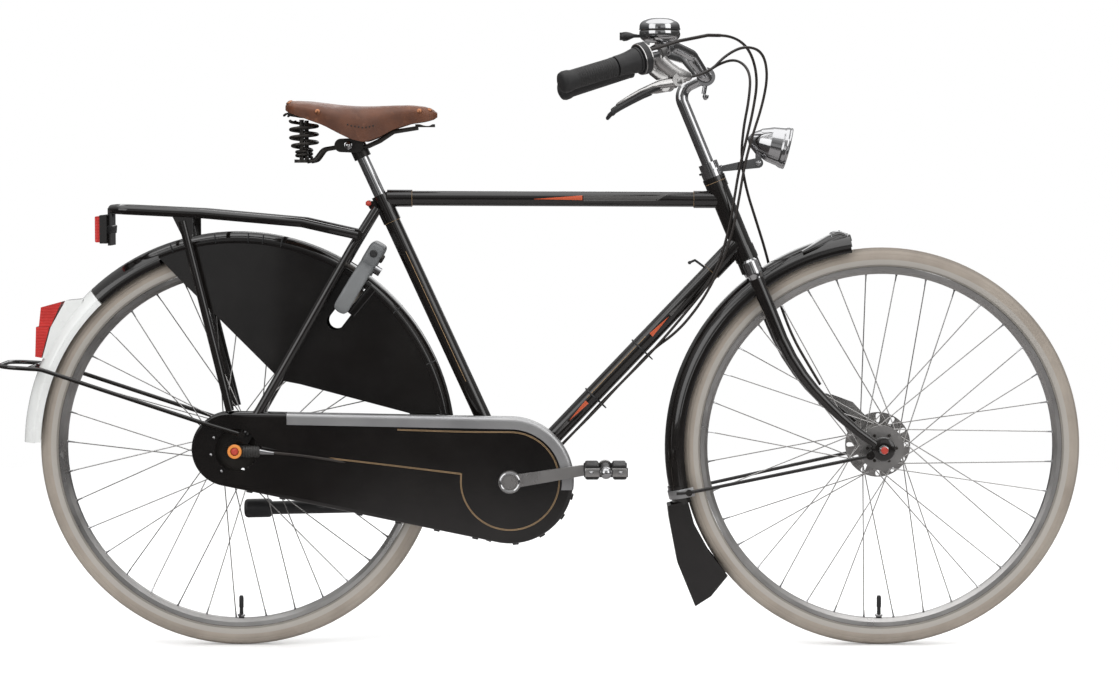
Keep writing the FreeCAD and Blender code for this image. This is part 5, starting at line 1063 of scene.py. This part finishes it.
# ---- Fork: bright crown caps, and gold lines round the head tube
for side, label in SIDES:
    top = below(0.1505, side * 0.0422)
    lower = below(0.186, side * 0.0428)
    spun("fork_crown_cap_" + label, (
        (0.0, -0.003), (0.0100, -0.002), (0.0138, 0.002), (0.0144, 0.008), (0.0140, 0.018), (0.0146, 0.022),
        (0.0146, 0.026), (0.0136, 0.029), (0.0131, 0.034), (0.0126, 0.034),
    ), top, lower - top, chrome, "steering", steps=36)
for k, (distance, radius) in enumerate(((0.0004, 0.0196), (0.1395, 0.0196))):
    ring("head_line_%d" % k, below(distance), STEER_UP, radius, 0.0006, gold_paint, "frame")

# ---- Frame lining at the lugs
TOP_REAR = Vector((-0.2728, 0, 0.7998))
TOP_FRONT = Vector((0.3243, 0, 0.7973))
TOP_ALONG = (TOP_FRONT - TOP_REAR).normalized()
lines = (
    ("top_rear_lug_line", TOP_REAR + TOP_ALONG * 0.0442, TOP_ALONG, 0.0140),
    ("top_front_lug_line", TOP_FRONT - TOP_ALONG * 0.0522, TOP_ALONG, 0.0140),
    ("down_lug_line", DOWN_HIGH + DOWN_ALONG * 0.049 - DOWN_ALONG * 0.0742, DOWN_ALONG, 0.0160),
    ("seat_lug_line", SEAT_TOP - SEAT_UP * 0.0522, SEAT_UP, 0.0148),
)
for name, at, along, radius in lines:
    ring(name, at, along, radius, 0.0005, gold_paint, "frame")


def side_line(name, start, end, radius, lean, body="frame", thick=0.0005):
    """A pair of straight painted lines along both sides of a tube."""
    along = (end - start).normalized()
    made = []
    for side in (1, -1):
        out = (ACROSS * side * math.cos(lean) + along.cross(ACROSS) * math.sin(lean)) * radius
        middle = (start + end) / 2
        made.append(wire(name, [start + out, middle + out, end + out], thick, gold_paint, body))
    return joined(name, made)


side_line("seat_tube_lining", SEAT_TOP - SEAT_UP * 0.110, CRANK + SEAT_UP * 0.190, 0.01435, 0.0)
side_line("down_tube_lining", DOWN_LOW + DOWN_ALONG * 0.200, DOWN_LOW + DOWN_ALONG * 0.352, 0.01555, 0.35)

# ---- Chain case: gold lining, seam clips and screws
CASE_SIDE = -0.06605
RING_RADIUS = 0.088
RING_START = 171
LINING_GAP = 0.0017
LINING_WIRE = 0.00042


def case_point(x, z):
    return Vector((x, CASE_SIDE, z))


lining = []
for inset, corner_turn in ((0.0, RING_START), (LINING_GAP, RING_START + 1.2)):
    radius = RING_RADIUS - inset
    circle = [about(CRANK, radius, degrees, CASE_SIDE) for degrees in range(RING_START, 433, 9)]
    straight = [case_point(-0.372, 0.3424 - inset), case_point(-0.257, 0.3289 - inset),
                about(CRANK, RING_RADIUS, corner_turn, CASE_SIDE)]
    upper = [circle[-1], about(CRANK, radius, 81, CASE_SIDE), about(CRANK, radius, 91, CASE_SIDE)]
    upper += [case_point(x, z - inset) for x, z in ((-0.110, 0.3888), (-0.180, 0.3905), (-0.253, 0.3930))]
    for points, order in ((straight, 2), (circle, 3), (upper, 3)):
        lining.append(wire("lining", points, LINING_WIRE, gold_paint, "frame",
                           order=order))
joined("chaincase_lining", lining)
seam_clip = block("seam_clip", (0.012, 0.0110, 0.0042), black_plastic, "frame")
case_rear = Vector((-0.551, 0, 0.357))
low_turn = math.atan2(CRANK.z - case_rear.z, CRANK.x - case_rear.x)
lean = math.acos((0.112 - 0.066) / (CRANK - case_rear).length)
edge_way = Vector((math.cos(low_turn - math.pi + lean), 0, math.sin(low_turn - math.pi + lean)))
clip_places = []
for share in (0.10, 0.22, 0.36, 0.50, 0.64, 0.78, 0.92):
    start = case_rear + edge_way * 0.066
    end = CRANK + edge_way * 0.112
    clip_places.append(facing(start + (end - start) * share + edge_way * 0.0012 - ACROSS * 0.050, edge_way))
for degrees in (250, 275, 300, 325, 345):
    clip_places.append(facing(about(CRANK, 0.1132, degrees, -0.050), about(Vector(), 1, degrees)))
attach(copies("chaincase_clips", seam_clip, clip_places), "frame")
screws = []
for degrees in (150, 190, 235):
    screws.append(nut("cap_screw", about(REAR_AXLE, 0.045, degrees, -0.0675), -ACROSS, 0.008, 0.003, chrome,
                      "frame"))
screws.append(nut("stay_screw", (-0.527, -0.0645, 0.384), -ACROSS, 0.012, 0.008, chrome, "frame"))
joined("rear_cap_screws", screws)

# ---- Cranks and pedals
bpy.ops.mesh.primitive_torus_add(major_radius=0.0165, minor_radius=0.0022, major_segments=48,
                                 minor_segments=8, location=CRANK - ACROSS * 0.0858, rotation=turn_to(ACROSS))
take("crank_boss_ring", chrome, "crankset")
ARM_END = about(CRANK, 0.170, 9)
PEDAL_END = 0.174
for label, body, sign in (("right", "right_foot_pedal", -1), ("left", "left_foot_pedal", 1)):
    eye = ARM_END if sign < 0 else CRANK - (ARM_END - CRANK)
    out = ACROSS * sign
    spun(label + "_pedal_dome", (
        (0, 0.0115), (0.005, 0.0108), (0.0088, 0.0075), (0.0105, 0.002), (0.0105, -0.002), (0, -0.002),
    ), eye + out * (PEDAL_END + 0.004), out, chrome, body, steps=32)
    plates = []
    for across in (-1, 1):
        plate_at = eye + Vector((across * 0.0235, sign * (PEDAL_END - 0.0005), 0))
        plates.append(block("plate", (0.026, 0.0018, 0.0145), alloy, body, at=plate_at, edge=0.0030,
                            segments=3))
        nut_at = eye + Vector((across * 0.0255, sign * (PEDAL_END + 0.0003), 0))
        plates.append(nut("plate_nut", nut_at, out, 0.008, 0.0028, chrome, body))
    joined(label + "_pedal_end_plates", plates)

# ---- Coat guards: a hem under the mudguard's edge, held by clips
clip_places = []
for side, label in SIDES:
    hem = [(about(REAR_AXLE, 0.3695, 9.4 + 102.8 * k / 60, side * 0.0316), 0.0010, 0.0052) for k in range(61)]
    swept("coat_guard_hem_" + label, hem, ACROSS, guard_vinyl, "frame", around=8)
    for degrees in (24, 41, 60, 77.8, 82.9, 86.9, 95.9, 108):
        clip_at = about(REAR_AXLE, 0.3745, degrees, side * 0.0325)
        clip_places.append(facing(clip_at, about(Vector(), 1, degrees)))
guard_clip = block("guard_clip", (0.0040, 0.0022, 0.0170), black_plastic, "frame", edge=0.0006)
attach(copies("coat_guard_clips", guard_clip, clip_places), "frame")

# Guards' turned-down edges, the flange behind the lock's slot and the front stays' bright clip
GUARD_RING = 0.3534
SKIRT_RADIUS = 0.3590
STAY_CLIP_SECTION = 0.0345
STAY_CLIP_TURN = 193.0
SKIRTS = (
    ("front_guard_skirt", FRONT_AXLE, 99.0, 195.8, black_enamel, "steering"),
    ("rear_guard_skirt", REAR_AXLE, 112.5, 133.0, black_enamel, "frame"),
    ("tail_skirt", REAR_AXLE, 133.3, 178.4, white_enamel, "frame"),
)
for name, axle, first, last, paint, body in SKIRTS:
    count = round((last - first) / 1.8)
    edges = []
    for side in (1, -1):
        arc = [(about(axle, SKIRT_RADIUS, first + (last - first) * k / count, side * 0.0294), 0.0008, 0.0072)
               for k in range(count + 1)]
        edges.append(swept(name, arc, ACROSS, paint, body, around=8))
    joined(name, edges)
for side, label in SIDES:
    swept("lock_slot_flange_" + label, [
        (about(REAR_AXLE, radius, 50.0, side * 0.0320), 0.0010, 0.0080)
        for radius in (0.312, 0.332, 0.352, 0.372)
    ], ACROSS, guard_vinyl, "frame", around=12, power=0.5)
band, outwards = [], []
for degrees in range(-108, 109, 9):
    cosine, sine = math.cos(math.radians(degrees)), math.sin(math.radians(degrees))
    outwards.append(about(Vector(), cosine, STAY_CLIP_TURN, sine))
    reach = GUARD_RING + STAY_CLIP_SECTION * cosine
    band.append((about(FRONT_AXLE, reach, STAY_CLIP_TURN, STAY_CLIP_SECTION * sine), 0.0006, 0.0080))
swept("front_stay_clip", band, outwards, satin_alloy, "steering", around=8, power=0.5)

# Front mudguard's nose: a rounded tongue with an oval ring on each cheek
swept("front_guard_nose", [
    (Vector((0.4640, 0, 0.7036)), 0.0300, 0.0040), (Vector((0.4878, 0, 0.7130)), 0.0270, 0.0080),
    (Vector((0.5129, 0, 0.7224)), 0.0190, 0.0118), (Vector((0.5328, 0, 0.7290)), 0.0140, 0.0132),
    (Vector((0.5479, 0, 0.7263)), 0.0090, 0.0096), (Vector((0.5523, 0, 0.7225)), 0.0030, 0.0030),
], ACROSS, black_enamel, "steering", around=28, power=0.9)
ovals = []
tilt = math.radians(-10)
for side in (1, -1):
    oval = []
    for k in range(24):
        turn = 2 * math.pi * k / 24
        sideways, upward = 0.0150 * math.cos(turn), 0.0075 * math.sin(turn)
        oval.append((0.5303 + sideways * math.cos(tilt) - upward * math.sin(tilt), side * 0.0142,
                     0.7322 + sideways * math.sin(tilt) + upward * math.cos(tilt)))
    ovals.append(wire("nose_oval", oval, 0.0012, chrome, "steering", cyclic=True))
joined("front_guard_nose_rings", ovals)

# ---- Ring lock: a rounded horseshoe round the wheel with a crown and a key
LOCK_AT = Vector((-0.3336, 0, 0.6371))
LOCK_UP = Vector((0.5136, 0, 0.858)).normalized()
LOCK_AHEAD = Vector((0.858, 0, -0.5136)).normalized()


def lock_point(sideways, up, ahead=0.0):
    return LOCK_AT + ACROSS * sideways + LOCK_UP * up + LOCK_AHEAD * ahead


horseshoe = []
for k in range(61):
    turn = math.radians(-44 + 268 * k / 60)
    tight = 1.0 if 2 < k < 58 else (0.35, 0.75, 0.93)[min(k, 60 - k)]
    bend = lock_point(0.0615 * math.cos(turn), 0.0615 * math.sin(turn))
    horseshoe.append((bend, 0.0138 * tight, 0.0086 * tight))
lock_case = swept("lock_horseshoe", horseshoe, LOCK_AHEAD, grey_plastic, "frame", around=24,
                  power=0.5)
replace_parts(lock_case, "ring_lock_body")
swept("lock_crown", [
    (lock_point(-0.0462, 0.0700), 0.0060, 0.0080), (lock_point(-0.0455, 0.0700), 0.0110, 0.0175),
    (lock_point(-0.0425, 0.0705), 0.0136, 0.0225), (lock_point(-0.0360, 0.0710), 0.0142, 0.0245),
    (lock_point(0.0, 0.0715), 0.0142, 0.0250),
    (lock_point(0.0360, 0.0710), 0.0142, 0.0245), (lock_point(0.0425, 0.0705), 0.0136, 0.0225),
    (lock_point(0.0455, 0.0700), 0.0110, 0.0175), (lock_point(0.0462, 0.0700), 0.0060, 0.0080),
], LOCK_AHEAD, grey_plastic, "frame", around=28, power=0.45)
for side, label in SIDES:
    spun("lock_bolt_cover_" + label, (
        (0, 0.0030), (0.0050, 0.0028), (0.0068, 0.0012), (0.0070, -0.001), (0, -0.001),
    ), lock_point(side * 0.0462, 0.0760), ACROSS * side, black_plastic, "frame", steps=28)
    spun("lock_stay_screw_" + label, (
        (0.0, 0.0), (0.0042, 0.0), (0.0042, 0.0160), (0.0060, 0.0164), (0.0060, 0.0200), (0.0, 0.0204),
    ), lock_point(side * 0.0440, 0.0340, -0.014), -LOCK_AHEAD, dark_steel, "frame", steps=16)

# ---- Small fittings of the frame
nut("seat_bolt_right", (-0.3052, -0.0165, 0.7906), -ACROSS, 0.011, 0.005, red_paint, "frame")
nut("seat_bolt_left", (-0.3052, 0.0165, 0.7906), ACROSS, 0.011, 0.005, chrome, "frame")
spun("lock_key_barrel", ((0, 0.0055), (0.0060, 0.0055), (0.0078, 0.0040), (0.0082, -0.002), (0, -0.002)),
     lock_point(-0.0240, 0.0740, 0.0142), LOCK_AHEAD, dark_steel, "frame", steps=28)
wire("down_tube_hook", [
    (0.2920, 0, 0.6765), (0.2755, 0, 0.6888), (0.2742, 0, 0.6893), (0.2655, 0, 0.6850),
], 0.0022, black_plastic, "frame")
bpy.ops.mesh.primitive_uv_sphere_add(segments=16, ring_count=8, radius=0.0032, location=(0.2652, 0, 0.6848))
take("down_tube_hook_tip", black_plastic, "frame")

# ---- Rear reflector under the carrier's end: red plate, clear body, black bracket
REFLECTOR_AT = Vector((-0.7815, 0, 0.7455))
REFLECTOR_LEAN = math.radians(5)
for name, ahead, up, size, paint in (
    ("rear_reflector_plate", 0.0, 0.0, (0.0045, 0.084, 0.0430), red_lens),
    ("rear_reflector_body", 0.0074, 0.0006, (0.0098, 0.060, 0.0400), clear_lens),
    ("rear_reflector_bracket", 0.0138, -0.0010, (0.0180, 0.064, 0.0150), black_plastic),
):
    block(name, size, paint, "frame", at=REFLECTOR_AT + Vector((ahead, 0, up)), turn=(0, REFLECTOR_LEAN, 0),
          edge=0.0018, segments=3)
wire("rear_reflector_strap", [(-0.7665, 0, 0.7450), (-0.7660, 0, 0.7600), (-0.7590, 0, 0.7760)], 0.0026,
     black_plastic, "frame")

# Stage: a pale floor that fades into the white backdrop
bpy.ops.mesh.primitive_circle_add(vertices=96, radius=9.0, fill_type="NGON", location=(0, 0, 0))
floor = bpy.context.object
floor.name = "studio_floor"
floor_paint, tree, shader, where = blank("studio_floor")
distance = vector_maths(tree, "LENGTH", where).outputs["Value"]
pale = mixed(tree, placed(tree, CLOUD, where, Scale=0.6), (0.90, 0.90, 0.90), (0.88, 0.88, 0.88))
spot = tree.nodes.new("ShaderNodeSeparateXYZ")
plug(tree, where, spot.inputs[0])
# Painted reflection: where gloss mirrors the floor, it is painted mid grey, and near black behind the rear
# axle, so reflections of the floor come out darker than the floor itself
painted_floor_reflection = mixed(tree, spread(tree, spot.outputs["X"], -0.60, -0.46, 0.0, 1.0), (0.05, 0.045, 0.045),
                       (0.32, 0.31, 0.31))
light_path = tree.nodes.new("ShaderNodeLightPath")
plug(tree, mixed(tree, light_path.outputs["Is Glossy Ray"], pale, painted_floor_reflection),
     shader.inputs["Base Color"])
shader.inputs["Roughness"].default_value = 0.9
shader.inputs["Specular IOR Level"].default_value = 0.1
white = tree.nodes.new("ShaderNodeEmission")
lit = tree.nodes.new("ShaderNodeAddShader")
white.inputs["Color"].default_value = (1, 1, 1, 1)
plug(tree, maths(tree, "MULTIPLY", light_path.outputs["Is Camera Ray"], 0.22), white.inputs["Strength"])
plug(tree, shader.outputs[0], lit.inputs[0])
plug(tree, white.outputs[0], lit.inputs[1])
clear = tree.nodes.new("ShaderNodeBsdfTransparent")
faded = tree.nodes.new("ShaderNodeMixShader")
plug(tree, spread(tree, distance, 1.6, 3.4, 0.0, 1.0), faded.inputs[0])
plug(tree, lit.outputs[0], faded.inputs[1])
plug(tree, clear.outputs[0], faded.inputs[2])
plug(tree, faded.outputs[0], tree.nodes["Material Output"].inputs["Surface"])
floor.data.materials.append(floor_paint)

# The world is white behind the bike, and a soft grey room where metal mirrors it
world = scene.world or bpy.data.worlds.new("studio")
scene.world = world
world.use_nodes = True
tree = world.node_tree
backdrop = tree.nodes["Background"]
light_path = tree.nodes.new("ShaderNodeLightPath")
direction = tree.nodes.new("ShaderNodeTexCoord").outputs["Generated"]
height = tree.nodes.new("ShaderNodeSeparateXYZ")
plug(tree, direction, height.inputs[0])
mirrored_room = spread(tree, height.outputs["Z"], 0.05, 0.85, 0.07, 0.60)
soft_room = spread(tree, height.outputs["Z"], -0.25, 0.55, 0.35, 0.85)
seen = maths(tree, "MAXIMUM", light_path.outputs["Is Camera Ray"], light_path.outputs["Is Transmission Ray"])


def chosen(mask, first, second):
    node = tree.nodes.new("ShaderNodeMix")
    plug(tree, mask, node.inputs["Factor"])
    plug(tree, first, node.inputs[2])
    plug(tree, second, node.inputs[3])
    return node.outputs[0]


strength = chosen(light_path.outputs["Is Glossy Ray"], soft_room, mirrored_room)
backdrop.inputs["Color"].default_value = (1, 1, 1, 1)
plug(tree, chosen(seen, strength, 1.0), backdrop.inputs["Strength"])


def softbox(name, at, aim, width, height, power):
    bpy.ops.object.light_add(type="AREA", location=at)
    lamp = bpy.context.object
    lamp.name = name
    lamp.rotation_euler = (Vector(aim) - Vector(at)).to_track_quat("-Z", "Y").to_euler()
    lamp.data.shape = "RECTANGLE"
    lamp.data.size = width
    lamp.data.size_y = height
    lamp.data.energy = power


softbox("overhead", (0.0, -0.5, 3.3), (0, 0, 0.5), 5.4, 3.4, 62)
softbox("left_front", (-3.3, -3.4, 2.0), (-0.2, 0, 0.6), 3.2, 3.2, 50)
softbox("right_front", (3.4, -3.2, 2.1), (0.3, 0, 0.6), 2.6, 3.0, 42)
softbox("behind", (0.6, 3.2, 2.3), (0, 0, 0.6), 3.2, 2.4, 32)
softbox("left_wall", (-2.0, -5.3, 1.0), (-0.3, 0, 0.6), 2.1, 1.8, 3.6)
softbox("right_wall", (1.9, -5.3, 1.7), (0.4, 0, 0.7), 3.0, 1.6, 4.5)
